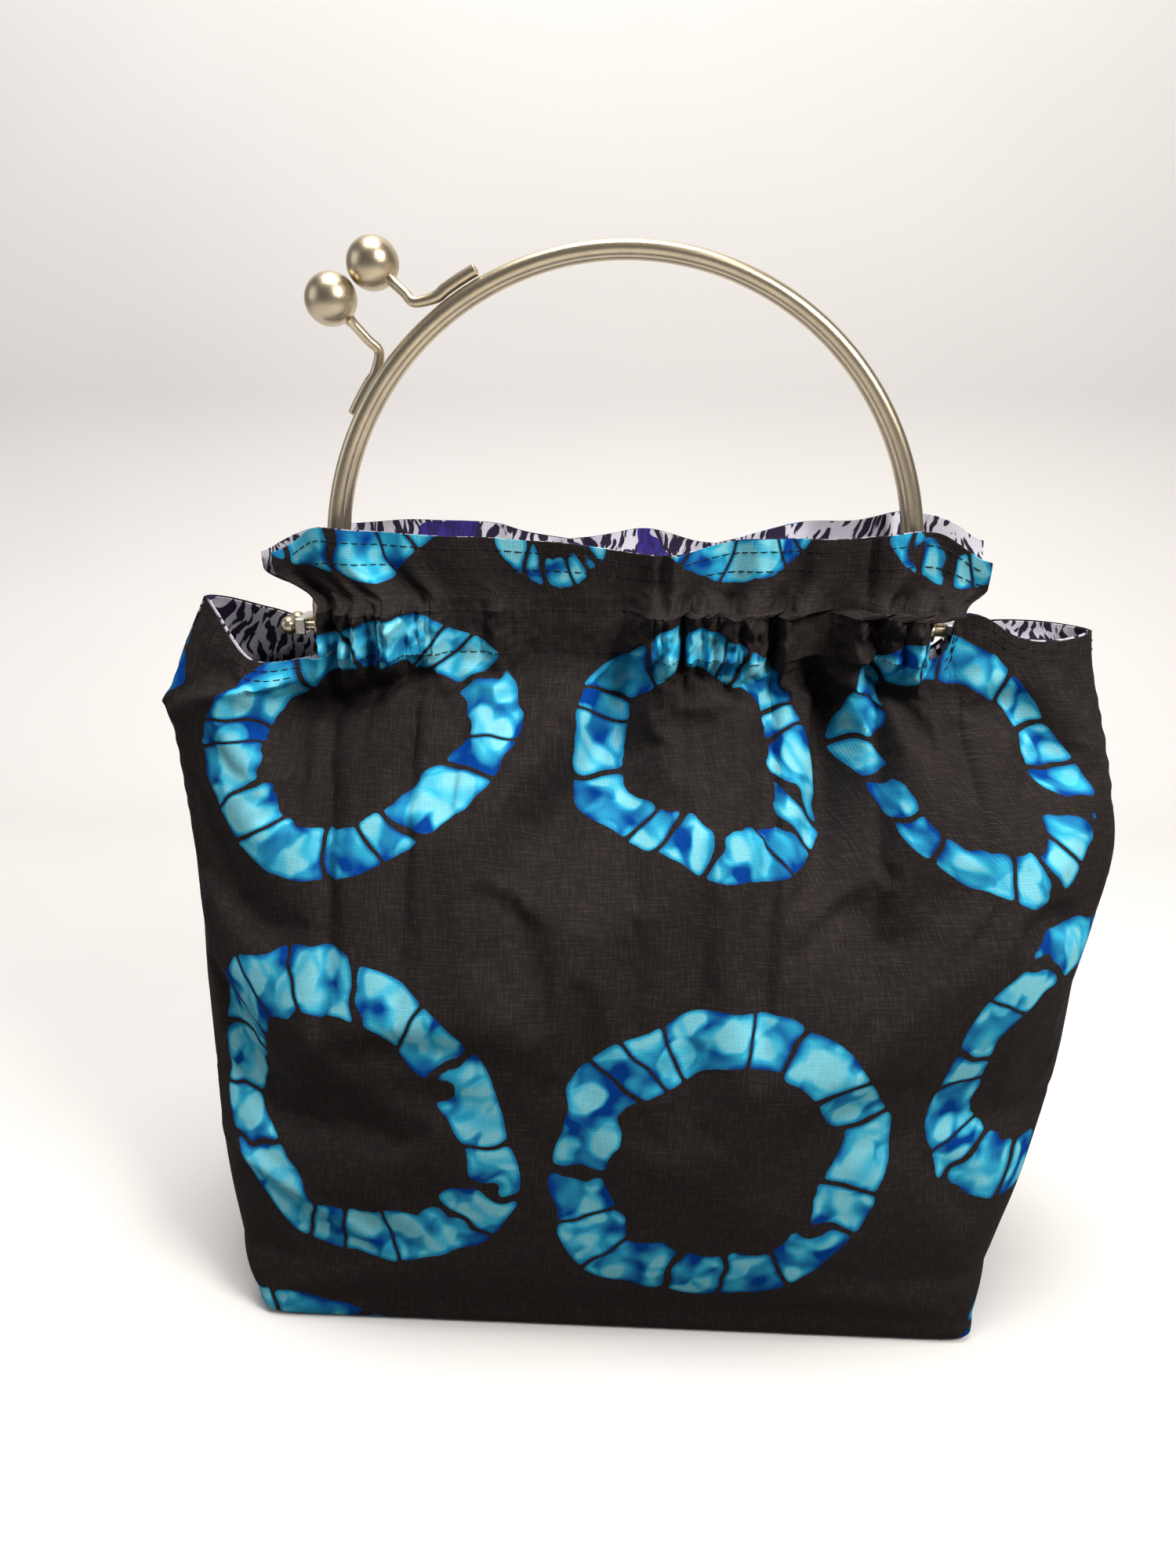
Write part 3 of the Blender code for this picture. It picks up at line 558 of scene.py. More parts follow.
def make_panel(face):
    """Grid of one panel, with each point's place on the flat cloth, before its folds and after them.

    Folds stand out along the normal, and straight out where the casing takes over.
    """
    shares = np.linspace(-1.0, 1.0, COLUMNS)
    points, lengths = panel_rows(face == "back", shares)
    x, z = points[..., 0], points[..., 2]
    cloth_u, cloth_v = panel_cloth(face, points, lengths, shares)
    points = left_flap(points, face)
    near_top = smooth(z, 0.165, 0.182)[..., None]
    straight_out = np.array([0.0, float(SIDES[face]), 0.0])
    direction = grid_normals(points) * (1 - near_top) + straight_out * near_top
    inside = 1 - smooth(np.abs(x), CASING_HALF_LENGTH - 0.002, CASING_HALF_LENGTH + 0.012)
    stand = pleat_height(x, z - RIM_HEIGHT, face) * (0.25 + 0.75 * inside)
    stand = stand + fold_height(x, z, face)
    wave = PANEL_WAVE * wander(x / 0.019 + z / 0.031, 2.0)
    stand = stand * smooth(z, 0.012, 0.060) + wave * smooth(z, 0.01, 0.05)
    seam = (1.0 - np.abs(shares)) * lengths[:, None]
    stand = stand * smooth(seam, 0.002, 0.016)
    stand = stand - SEAM_DEPTH * np.exp(-(seam / SEAM_WIDTH) ** 2) * smooth(z, 0.004, 0.015)
    turn = 2 * math.pi * cloth_v / PUCKER_LENGTH + 3.0 * wander(cloth_v / 0.012, 3.0)
    pucker = PUCKER_DEPTH * np.sin(turn) * np.exp(-(seam / PUCKER_WIDTH) ** 2)
    stand = stand + pucker * smooth(seam, 0.0, 0.002) * smooth(z, 0.01, 0.03)
    finished = points + direction * stand[..., None]
    excess = smooth(z, 0.070, 0.118) * (1 - 0.75 * smooth(z, 0.166, 0.182)) * smooth(seam, 0.004, 0.036)
    moved = settle(finished, excess)
    lining = points + direction * np.minimum(stand, 0.0)[..., None] + moved
    lining[..., 1] -= SIDES[face] * PANEL_LINING_INSET * smooth(z, 0.120, 0.160)
    finished = finished + moved
    for sheet in (finished, lining):
        sheet[..., 1] = np.where(SIDES[face] * sheet[..., 1] < 0.0, 0.0, sheet[..., 1])
        sheet[:, [0, -1], 1] = 0.0
    return {"points": finished, "normal": grid_normals(finished), "u": cloth_u, "v": cloth_v,
            "lining": lining}


def casing_profile(face):
    """Section of the gathered top: out round the rod, in at the upper stitching, then up past the arch wire.

    Returned as heights, distances outwards from the middle of the bag, and
    the share of the way up the header at each.
    """
    low = np.linspace(-1.0, 1.0, 26)
    height = ROD_HEIGHT + CASING_REACH * low
    bulge = RIM_HALF_DEPTH + CASING_BULGE * np.cos(math.pi / 2 * low) + 0.0001 * (1 + low)
    rise = np.linspace(0.0, 1.0, 44)[1:]
    up = ROD_HEIGHT + CASING_REACH + (HEADER_HEIGHTS[face] - CASING_REACH) * rise
    lean = RIM_HALF_DEPTH + 0.0002 + 0.0008 * smooth(rise, 0.0, 0.20) + 0.0006 * rise
    share = np.concatenate([np.zeros(len(low)), rise])
    return np.concatenate([height, up]), np.concatenate([bulge, lean]), share


def header_top(x, face):
    """Height lost along the header's top edge: soft dips, lumps and dropped corners."""
    drop = HEADER_WAVE * (1 + wander(x / HEADER_WAVE_LENGTH, 1.5 if face == "front" else 4.0))
    for centre, width, depth in HEADER_DIPS[face]:
        drop = drop + depth * np.exp(-((x - centre) / width) ** 2)
    drop = drop - HEADER_RISE * np.exp(-((np.abs(x) - HEADER_RISE_PLACE) / HEADER_RISE_WIDTH) ** 2)
    end = np.where(x < 0, HEADER_LEFT, HEADER_RIGHT)
    return drop + CORNER_DROP * smooth(np.abs(x), end - CORNER_WIDTH, end)


def make_top(face):
    """Grid of a panel's gathered top: the casing round the rod and the frilled header above it."""
    side = SIDES[face]
    heights, outs, shares = casing_profile(face)
    up = shares[:, None]
    spread = np.linspace(-1.0, 1.0, HEADER_COLUMNS) * -side
    casing_x = spread * CASING_HALF_LENGTH
    end = np.where(spread < 0, HEADER_LEFT, HEADER_RIGHT)
    right_fan = 0.6 * smooth(up, 0.0, 0.04) + 0.4 * smooth(up, 0.05, 0.5)
    fan = np.where(spread[None, :] > 0, right_fan, smooth(up, 0.02, 0.72))
    x = casing_x[None, :] + (spread * (end - CASING_HALF_LENGTH))[None, :] * fan
    drop = header_top(spread * end, face)
    z = heights[:, None] - drop[None, :] * smooth(up, 0.05, 1.0)
    above = z - RIM_HEIGHT
    steady = casing_x[None, :] * np.ones_like(x)
    flat = cloth_across(steady, face)
    frill = smooth(above, FRILL_START, FRILL_FULL)
    waves = frill * wander(flat / FRILL_LENGTH, 1.2 if face == "front" else 5.2)
    stand = pleat_height(steady, above, face) + FRILL_DEPTH * (1 + waves) * frill
    for place, width, depth in TUCKS[face]:
        stand = stand - depth * np.exp(-((x - place) / width) ** 2) * smooth(above, 0.0095, 0.0150)
    ends = smooth(np.abs(spread), 0.93, 1.0)[None, :] * smooth(up, 0.3, 1.0)
    y = outs[:, None] + stand + END_FLARE[face] * ends
    climb = distance_along(np.stack([outs, heights], axis=1))
    return {"points": np.stack([x, side * y, z + 0 * x], axis=2), "u": flat,
            "v": climb[:, None] + np.zeros_like(x)}


def strip_faces(rows, columns, start=0, flip=False):
    """Four corners of every cell of a grid, turned so that its normals follow along x up."""
    index = start + np.arange(rows * columns).reshape(rows, columns)
    quads = np.stack([index[:-1, :-1], index[:-1, 1:], index[1:, 1:], index[1:, :-1]], axis=2).reshape(-1, 4)
    return quads[:, ::-1] if flip else quads


def edge_faces(rows, columns, second):
    """The strip that joins the two skins of a sheet along its four edges."""
    index = np.arange(rows * columns).reshape(rows, columns)
    loop = np.concatenate([index[0, :-1], index[:-1, -1], index[-1, :0:-1], index[:0:-1, 0]])
    after = np.roll(loop, -1)
    return np.stack([loop, loop + second, after + second, after], axis=1)


def new_mesh(name, vertices, faces, material, smooth_angle=60):
    """An object at the origin with this mesh, shaded smooth up to an angle."""
    mesh = bpy.data.meshes.new(name)
    mesh.from_pydata(np.asarray(vertices).reshape(-1, 3).tolist(), [], [list(map(int, f)) for f in faces])
    mesh.update()
    mesh.shade_smooth()
    if smooth_angle:
        mesh.set_sharp_from_angle(angle=math.radians(smooth_angle))
    mesh.materials.append(material)
    thing = bpy.data.objects.new(name, mesh)
    bpy.context.scene.collection.objects.link(thing)
    return thing


def from_ring(uv, ring):
    """Place from a ring's centre, turned by its tilt and divided by its half sizes."""
    u0, v0, half_u, half_v, tilt, _ = ring
    turn = math.radians(tilt)
    across, up = uv[..., 0] - u0, uv[..., 1] - v0
    return np.stack([(across * math.cos(turn) + up * math.sin(turn)) / half_u,
                     (up * math.cos(turn) - across * math.sin(turn)) / half_v], axis=-1)


def ring_places(corner_uv, face_uv, face):
    """Each face takes the nearest printed ring, and its corners their place from that ring's centre.

    A ring's outer line lies near a distance of 1 in these places.
    """
    rings = RINGS[face]
    far = np.stack([np.linalg.norm(from_ring(face_uv, ring), axis=-1) for ring in rings])
    nearest = np.argmin(far, axis=0)
    options = np.stack([from_ring(corner_uv, ring) for ring in rings])
    chosen = np.take_along_axis(options, nearest[None, :, None, None], axis=0)[0]
    seeds = np.array([ring[5] for ring in rings])[nearest]
    radii = np.array([(ring[2] + ring[3]) / 2 for ring in rings])[nearest]
    return chosen, seeds, radii


def add_uv_map(mesh, name, values):
    """A UV map with a pair of values for each corner of each face."""
    mesh.uv_layers.new(name=name).data.foreach_set("uv", values.astype(np.float32).ravel())


def write_cloth_maps(thing, uv, face):
    """Stores the place on the flat cloth as a UV map, and the place in the nearest ring as two more."""
    mesh = thing.data
    corners = np.empty(len(mesh.loops), dtype=np.int64)
    mesh.loops.foreach_get("vertex_index", corners)
    corner_uv = uv[corners]
    add_uv_map(mesh, "cloth", corner_uv)
    if face is None:
        return
    per_face = corner_uv.reshape(-1, 4, 2)
    chosen, seeds, radii = ring_places(per_face, per_face.mean(axis=1), face)
    add_uv_map(mesh, "ring", chosen)
    add_uv_map(mesh, "ring_facts", np.repeat(np.stack([seeds, radii], axis=1), 4, axis=0))
    mesh.uv_layers.active = mesh.uv_layers["cloth"]


def closed_sheet(name, grid, wall, offset, material, ring_face):
    """A sheet of cloth with its real thickness: two skins a wall apart and a strip along its edges."""
    points, normal = grid["points"], grid["normal"]
    rows, columns = points.shape[:2]
    outer = points - normal * offset
    inner = points - normal * (offset + wall)
    faces = np.concatenate([strip_faces(rows, columns),
                            strip_faces(rows, columns, rows * columns, flip=True),
                            edge_faces(rows, columns, rows * columns)])
    thing = new_mesh(name, np.concatenate([outer.reshape(-1, 3), inner.reshape(-1, 3)]), faces, material)
    uv = np.stack([grid["u"], grid["v"]], axis=2).reshape(-1, 2)
    write_cloth_maps(thing, np.concatenate([uv, uv]), ring_face)
    return thing


def thin(grid, row_step, column_step):
    """Every so many rows and columns of a grid, with its last ones kept."""
    rows, columns = grid["points"].shape[:2]
    pick = np.ix_(every(row_step, rows), every(column_step, columns))
    return {key: grid[key][pick] for key in ("points", "normal", "u", "v")}


def tube(path, radius, sides):
    """Round wire: circles square to the path, with a radius at each point, and rounded closed ends.

    The circle's first direction is square to the path and to Y, which the
    path never follows.
    """
    path = np.asarray(path, float)
    radius = np.broadcast_to(np.asarray(radius, float), len(path)).copy()
    ahead = np.gradient(path, axis=0)
    ahead /= np.linalg.norm(ahead, axis=1, keepdims=True)
    first = np.cross(ahead, np.array([0.0, 1.0, 0.0]))
    first /= np.linalg.norm(first, axis=1, keepdims=True)
    second = np.cross(ahead, first)
    cap = np.array([0.0, 0.35, 0.65, 0.88, 1.0])
    start = path[0] - ahead[0] * radius[0] * CAP_DEPTH * np.cos(np.pi / 2 * cap)[:, None]
    finish = path[-1] + ahead[-1] * radius[-1] * CAP_DEPTH * np.sin(np.pi / 2 * cap)[1:, None]
    centres = np.concatenate([start, path[1:], finish])
    radii = np.concatenate([radius[0] * np.sin(np.pi / 2 * cap) + POLE_RADIUS, radius[1:],
                            radius[-1] * np.cos(np.pi / 2 * cap[1:]) + POLE_RADIUS])
    first = np.concatenate([np.repeat(first[:1], 5, 0), first[1:], np.repeat(first[-1:], 4, 0)])
    second = np.concatenate([np.repeat(second[:1], 5, 0), second[1:], np.repeat(second[-1:], 4, 0)])
    turn = 2 * math.pi * np.arange(sides) / sides
    return (centres[:, None] + radii[:, None, None]
            * (first[:, None] * np.cos(turn)[None, :, None] + second[:, None] * np.sin(turn)[None, :, None]))


def ring_faces(count, sides, start=0, capped=True):
    """Faces between closed rings of points, and a cap at each end where the ends don't meet."""
    index = start + np.arange(count * sides).reshape(count, sides)
    after = np.roll(index, -1, axis=1)
    quads = np.stack([index[:-1], after[:-1], after[1:], index[1:]], axis=2).reshape(-1, 4)
    caps = [list(index[0][::-1]), list(index[-1])] if capped else []
    return [list(q) for q in quads] + caps


def face_outwards(thing):
    """Recalculates the normals of a closed mesh after its doubles are merged."""
    shape = bmesh.new()
    shape.from_mesh(thing.data)
    bmesh.ops.remove_doubles(shape, verts=shape.verts, dist=2e-6)
    bmesh.ops.recalc_face_normals(shape, faces=shape.faces)
    shape.to_mesh(thing.data)
    shape.free()
    thing.data.shade_smooth()
    thing.data.set_sharp_from_angle(angle=math.radians(50))
    return thing


def add_tubes(name, tubes, material):
    """One object from several tubes, each given as rings of points."""
    vertices, faces, start = [], [], 0
    for rings in tubes:
        count, sides = rings.shape[:2]
        vertices.append(rings.reshape(-1, 3))
        faces += ring_faces(count, sides, start, not np.allclose(rings[0], rings[-1], atol=1e-7))
        start += count * sides
    return face_outwards(new_mesh(name, np.concatenate(vertices), faces, material, None))


def turned(centre, axis, profile, sides):
    """Rings of a turned piece: a profile of places along the axis and radii, carried round the axis."""
    axis = np.asarray(axis, float) / np.linalg.norm(axis)
    helper = np.array([0.0, 1.0, 0.0]) if abs(axis[1]) < 0.9 else np.array([1.0, 0.0, 0.0])
    first = np.cross(axis, helper)
    first /= np.linalg.norm(first)
    second = np.cross(axis, first)
    turn = 2 * math.pi * np.arange(sides) / sides
    profile = np.asarray(profile, float)
    return (np.asarray(centre) + profile[:, 0, None, None] * axis
            + profile[:, 1, None, None] * (first * np.cos(turn)[:, None] + second * np.sin(turn)[:, None]))


def ball_profile(radius, steps=40):
    """Half circle from the far pole to the near one."""
    turn = np.linspace(0.0, math.pi, steps)
    return np.stack([radius * np.cos(turn), radius * np.sin(turn) + POLE_RADIUS], axis=1)


def eye_profile():
    """Closed section of the flattened ring at an arch's end, with its outer edges rounded off."""
    half = EYE_WIDTH / 2
    outer = BORE_RADIUS + EYE_WALL
    edge = EYE_EDGE
    return [(-half, BORE_RADIUS), (-half, outer - edge), (-half + edge * 0.3, outer - edge * 0.3),
            (-half + edge, outer), (half - edge, outer), (half - edge * 0.3, outer - edge * 0.3),
            (half, outer - edge), (half, BORE_RADIUS), (-half, BORE_RADIUS)]


def arch_line(y, points=150):
    """Middle line of an arch: a half circle on legs that rise from the eyes and curve in."""
    straight = ROD_HEIGHT + CASING_HALF_HEIGHT + GAP
    share = np.linspace(0.0, 1.0, 24, endpoint=False)
    leg_x = np.concatenate([[EYE_X, EYE_X], ARCH_RADIUS + LEG_SPREAD * (1 - smooth(share, 0, 1))])
    leg_z = np.concatenate([[ROD_HEIGHT + BORE_RADIUS + EYE_WALL * 0.6, ROD_HEIGHT + 0.0035],
                            straight + (ARCH_CENTRE - straight) * share])
    turn = np.linspace(0, math.pi, points)
    x = np.concatenate([leg_x, ARCH_RADIUS * np.cos(turn), -leg_x[::-1]])
    z = np.concatenate([leg_z, ARCH_CENTRE + ARCH_RADIUS * np.sin(turn), leg_z[::-1]])
    return np.stack([x, np.full_like(x, y), z], axis=1)


def on_arch(angle, radius, y):
    """Point at an angle above -X round the arch's centre."""
    turn = math.radians(angle)
    return np.array([-radius * math.cos(turn), y, ARCH_CENTRE + radius * math.sin(turn)])


def smooth_path(points, steps):
    """Catmull-Rom curve through the points."""
    points = np.asarray(points, float)
    ends = np.concatenate([[2 * points[0] - points[1]], points, [2 * points[-1] - points[-2]]])
    t = (np.arange(steps) / steps)[:, None]
    spans = [catmull_rom(*four, t) for four in zip(ends, ends[1:], ends[2:], ends[3:])]
    return np.concatenate(spans + [points[-1:]])


def clasp_places(face):
    """Ball centre, the way its arm enters it, and the arm's line with a radius at each point."""
    side = SIDES[face]
    y = side * ROD_OFFSET
    reach = ARCH_RADIUS + CLASP_REACH + side * CLASP_STAGGER
    half_apart = math.degrees(math.asin((BALL_RADIUS + GAP / 2) / reach))
    centre = on_arch(CLASP_ANGLE - side * half_apart, reach, -side * CLASP_OFFSET)
    foot = [on_arch(CLASP_ANGLE - side * angle, FOOT_CENTRE_RADIUS + GAP, y)
            for angle in np.linspace(FOOT_FAR_ANGLE, FOOT_NEAR_ANGLE, 5)]
    elbow = on_arch(CLASP_ANGLE - side * ELBOW_ANGLE, FOOT_CENTRE_RADIUS + GAP + ELBOW_RISE, y)
    entry = (centre - elbow) / np.linalg.norm(centre - elbow)
    tip = centre - entry * (BALL_RADIUS - ARM_INTO_BALL)
    rise = [elbow + (tip - elbow) * share for share in (1 / 3, 2 / 3)]
    line = smooth_path(foot + [elbow] + rise + [tip], 10)
    step = np.arange(len(line))
    radius = ARM_RADIUS + (FOOT_RADIUS - ARM_RADIUS) * (1 - smooth(step, 34, 50))
    collar = np.linalg.norm(line - tip, axis=1)
    radius = radius + SOLDER_HEIGHT * np.exp(-(collar / SOLDER_REACH) ** 2)
    return centre, entry, line, radius


class Value:
    """A node's output, so that a sum or product of two of them adds its Math node."""

    def __init__(self, shader, socket):
        self.shader, self.socket = shader, socket

    def maths(self, operation, *others, clamp=False):
        """A Math node on this value and the others."""
        return self.shader.node("ShaderNodeMath", {"operation": operation, "use_clamp": clamp},
                                dict(enumerate((self,) + others)))

    def __add__(self, other):
        return self.maths("ADD", other)

    def __sub__(self, other):
        return self.maths("SUBTRACT", other)

    def __rsub__(self, other):
        return self.shader.number(other).maths("SUBTRACT", self)

    def __mul__(self, other):
        return self.maths("MULTIPLY", other)

    def __truediv__(self, other):
        return self.maths("DIVIDE", other)

    def __rtruediv__(self, other):
        return self.shader.number(other).maths("DIVIDE", self)

    __radd__, __rmul__ = __add__, __mul__

    def between(self, low, high, curve="SMOOTHSTEP"):
        """0 at low and 1 at high, smoothly."""
        return self.shader.node("ShaderNodeMapRange", {"interpolation_type": curve},
                                {"Value": self, "From Min": low, "From Max": high})

    def clamp(self):
        """The value, held between 0 and 1."""
        return self.maths("ADD", 0.0, clamp=True)


class Shader:
    """A new material, and one way to add a node to it: type, settings, then sockets."""

    def __init__(self, name, display):
        self.material = bpy.data.materials.new(name)
        self.material.use_nodes = True
        self.material.diffuse_color = (*display, 1.0)
        self.tree = self.material.node_tree
        self.surface = self.tree.nodes["Principled BSDF"]

    def node(self, kind, settings=None, sockets=None, output=0):
        """Adds a node and returns one of its outputs."""
        made = self.tree.nodes.new(kind)
        for key, value in (settings or {}).items():
            setattr(made, key, value)
        for key, value in (sockets or {}).items():
            self.feed(made.inputs[key], value)
        return Value(self, made.outputs[output])

    def feed(self, socket, value):
        """Links a value to a socket, or writes a number or a colour to it."""
        if isinstance(value, Value):
            self.tree.links.new(value.socket, socket)
        elif isinstance(value, tuple) and len(value) == 3 and socket.type == "RGBA":
            socket.default_value = (*value, 1.0)
        else:
            socket.default_value = value

    def number(self, value):
        return self.node("ShaderNodeMath", {"operation": "ADD"}, {0: float(value), 1: 0.0})

    def mix(self, factor, first, second):
        """The first colour where the factor is 0 and the second where it is 1."""
        return self.node("ShaderNodeMix", {"data_type": "RGBA"}, {0: factor, 6: first, 7: second}, 2)

    def vectors(self, operation, first, output=0, **others):
        """A Vector Math node: the other sockets are second, a vector, or Scale, a number."""
        sockets = {0: first, **{1 if key == "second" else key: value for key, value in others.items()}}
        return self.node("ShaderNodeVectorMath", {"operation": operation}, sockets, output)

    def vector(self, x, y, z=0.0):
        return self.node("ShaderNodeCombineXYZ", None, {0: x, 1: y, 2: z})

    def split(self, vector):
        """The three parts of a vector or a colour."""
        made = self.tree.nodes.new("ShaderNodeSeparateXYZ")
        self.feed(made.inputs[0], vector)
        return [Value(self, output) for output in made.outputs]

    def uv(self, name):
        return self.node("ShaderNodeUVMap", {"uv_map": name})

    def place(self):
        """Place on the object, in metres."""
        return self.node("ShaderNodeTexCoord", output=3)

    def scaled(self, vector, x, y, z=1.0):
        return self.vectors("MULTIPLY", vector, second=(x, y, z))

    def noise(self, vector, scale, detail=2.0, roughness=0.5, colour=False):
        return self.node("ShaderNodeTexNoise", {"noise_dimensions": "3D"},
                         {"Vector": vector, "Scale": scale, "Detail": detail, "Roughness": roughness},
                         output=1 if colour else 0)

    def cells(self, vector, scale, feature, smoothness=None, output=0):
        """Cells round scattered points, with a colour for each cell as output 1."""
        sockets = {"Vector": vector, "Scale": scale}
        if smoothness is not None:
            sockets["Smoothness"] = smoothness
        settings = {"voronoi_dimensions": "3D", "feature": feature}
        return self.node("ShaderNodeTexVoronoi", settings, sockets, output)

    def shift(self, vector, by, amount):
        """Moves a place by a noise colour that is centred on 0."""
        centred = self.vectors("SUBTRACT", by, second=(0.5, 0.5, 0.5))
        return self.vectors("ADD", vector, second=self.vectors("SCALE", centred, Scale=amount))

    def bump(self, height, distance, strength, under=None):
        """Normal from a height, on top of another bump where one is given."""
        sockets = {"Height": height, "Distance": distance, "Strength": strength}
        if under is not None:
            sockets["Normal"] = under
        return self.node("ShaderNodeBump", None, sockets)

    def finish(self, specular=None, **sockets):
        """Feeds the surface's sockets and returns the material."""
        if specular is not None:
            self.surface.inputs["Specular IOR Level"].default_value = specular
        for key, value in sockets.items():
            self.feed(self.surface.inputs[key.replace("_", " ")], value)
        return self.material


def plain_weave(shader, place):
    """Plain weave from the flat cloth: rounded threads, over and under by turns.

    Returns the height, 0 to 1, and a value that varies from thread to thread.
    """
    u, v, _ = shader.split(place)
    pu, pv = u / THREAD_ACROSS, v / THREAD_UP
    wave_u = (pu * (2 * math.pi)).maths("SINE")
    wave_v = (pv * (2 * math.pi)).maths("SINE")
    ridge_u = (pu * math.pi).maths("SINE").maths("ABSOLUTE")
    ridge_v = (pv * math.pi).maths("SINE").maths("ABSOLUTE")
    checker = wave_u * wave_v * 0.5 + 0.5
    height = ridge_u * checker + ridge_v * (1 - checker)
    slub_u = shader.noise(shader.scaled(place, 1 / THREAD_ACROSS, 1 / (THREAD_UP * SLUB_LENGTH)), 1.0, 1.0)
    slub_v = shader.noise(shader.scaled(place, 1 / (THREAD_ACROSS * SLUB_LENGTH), 1 / THREAD_UP), 1.0, 1.0)
    return height, (slub_u + slub_v) * 0.5


def ring_depth(shader, place):
    """How deep inside a printed cell each place lies, in metres: 0 at its line and negative outside.

    A soft minimum of the distances to three lines rounds the cells' corners.
    The ring's outer and inner lines waver with noise round the ring, and the
    walls between its cells lie at equal steps of a count round it, which
    noise makes uneven, slanted and shaky.
    """
    ring_x, ring_y, _ = shader.split(shader.uv("ring"))
    seed, radius, _ = shader.split(shader.uv("ring_facts"))
    ring_place = shader.vector(ring_x, ring_y)
    reach = shader.vectors("LENGTH", ring_place, output=1)
    heading_x, heading_y, _ = shader.split(shader.vectors("NORMALIZE", ring_place))
    round_ring = shader.vector(heading_x, heading_y, seed)
    waves, ripples = shader.noise(round_ring, 1.15, 1.0), shader.noise(round_ring, 4.2, 1.0)
    outer = waves * RING_WAVES + ripples * RING_RIPPLES + RING_OUTLINE
    swing = shader.noise(shader.vector(heading_x, heading_y, seed + 3.7), 1.6, 1.0)
    from_outer = (outer - reach) * radius
    from_inner = (reach - outer + (BAND_WIDTH + swing * BAND_SWING)) * radius
    drawn = shader.vector(heading_x, heading_y, seed + 9.1)
    slant = (shader.noise(drawn, 1.5, 0.0) - 0.5) * (reach - 0.75) * CELL_SLANT
    uneven = shader.noise(drawn, 2.3, 0.0) * CELL_UNEVENNESS
    shaky = shader.noise(place, 150.0, 0.0) * CELL_SHAKE
    count = ring_y.maths("ARCTAN2", ring_x) * (CELLS_IN_RING / (2 * math.pi)) + slant + uneven + shaky
    from_middle = (count.maths("FRACT") - 0.5).maths("ABSOLUTE")
    from_wall = (0.5 - from_middle) * reach * radius * (2 * math.pi / CELLS_IN_RING) - CELL_WALL / 2
    inside = from_outer.maths("SMOOTH_MIN", from_inner, RING_ROUNDING)
    bleed = (shader.noise(place, 900.0, 2.0) - 0.5) * DYE_BLEED
    return inside.maths("SMOOTH_MIN", from_wall, CELL_ROUNDING) + bleed


def mottled_dye(shader, place, inside):
    """Blue that pools: lightest in rounded pools, darker in soft veins between them and at a cell's edge."""
    bent = shader.shift(place, shader.noise(place, 120.0, 1.0, colour=True), 0.005)
    streaks = shader.node("ShaderNodeVectorRotate", {"rotation_type": "Z_AXIS"},
                          {"Vector": bent, "Angle": 0.6})
    pools = shader.cells(shader.scaled(streaks, 128.0, 92.0), 1.0, "SMOOTH_F1", smoothness=0.25)
    veins = shader.cells(shader.scaled(streaks, 60.0, 84.0), 1.0, "DISTANCE_TO_EDGE")
    drift = shader.noise(bent, 95.0, 1.0)
    light = pools.between(0.62, 0.40) * 0.72 + (drift - 0.5) * 2.4 + 0.44
    light = light.clamp() * (0.62 + veins.between(0.0, 0.20) * 0.38)
    light = light * (0.40 + inside.between(0.0, 0.0018) * 0.60)
    blue = shader.mix(light.between(0.10, 0.60, "LINEAR"), DEEP_BLUE, MIDDLE_BLUE)
    return shader.mix(light.between(0.50, 0.90), blue, LIGHT_CYAN)


def printed_cotton():
    """Black cotton with rings of blue cells, after the way that wax prints are dyed."""
    shader = Shader("printed_cotton", (0.03, 0.03, 0.04))
    place = shader.uv("cloth")
    inside = ring_depth(shader, place)
    blue = mottled_dye(shader, place, inside)
    weave, threads = plain_weave(shader, place)
    glint = threads.between(0.44, 0.70) * weave.between(0.35, 1.0) * 0.46
    black = shader.mix(glint, BLACK_DYE, THREAD_GLINT)
    tone = shader.mix(inside.between(-0.00005, 0.00020), black, blue)
    shade = 0.74 + weave * 0.30 + (threads - 0.5) * 0.34
    rumple = shader.bump(shader.noise(place, 260.0, 3.0), 0.00035, 0.5)
    return shader.finish(0.03, Base_Color=shader.vectors("SCALE", tone, Scale=shade),
                         Roughness=0.72 + threads * 0.16, Normal=shader.bump(weave, 0.00010, 0.55, rumple))


def lining_cotton():
    """White cotton printed with short dark strokes and, in the headers, some purple fields."""
    shader = Shader("lining_cotton", (0.7, 0.68, 0.76))
    place = shader.uv("cloth")
    bent = shader.shift(place, shader.noise(place, 75.0, 2.0, colour=True), 0.011)
    ink = shader.noise(shader.scaled(bent, 560.0, 170.0), 1.0, 1.5, 0.45).between(0.485, 0.525)
    field_pick, _, _ = shader.split(shader.cells(bent, 21.0, "F1", output=1))
    _, up_cloth, _ = shader.split(place)
    purple = field_pick.between(0.62, 0.65) * up_cloth.between(0.200, 0.206)
    weave, threads = plain_weave(shader, place)
    base = shader.mix(ink, LINING_WHITE, LINING_INK)
    field = shader.mix(ink * 0.55, LINING_PURPLE, LINING_INK)
    tone = shader.mix(purple, base, field)
    shade = 0.86 + weave * 0.14 + (threads - 0.5) * 0.22
    rumple = shader.bump(shader.noise(place, 240.0, 3.0), 0.0004, 0.5)
    return shader.finish(0.30, Base_Color=shader.vectors("SCALE", tone, Scale=shade),
                         Roughness=0.80 + threads * 0.12, Normal=shader.bump(weave, 0.00010, 0.5, rumple))


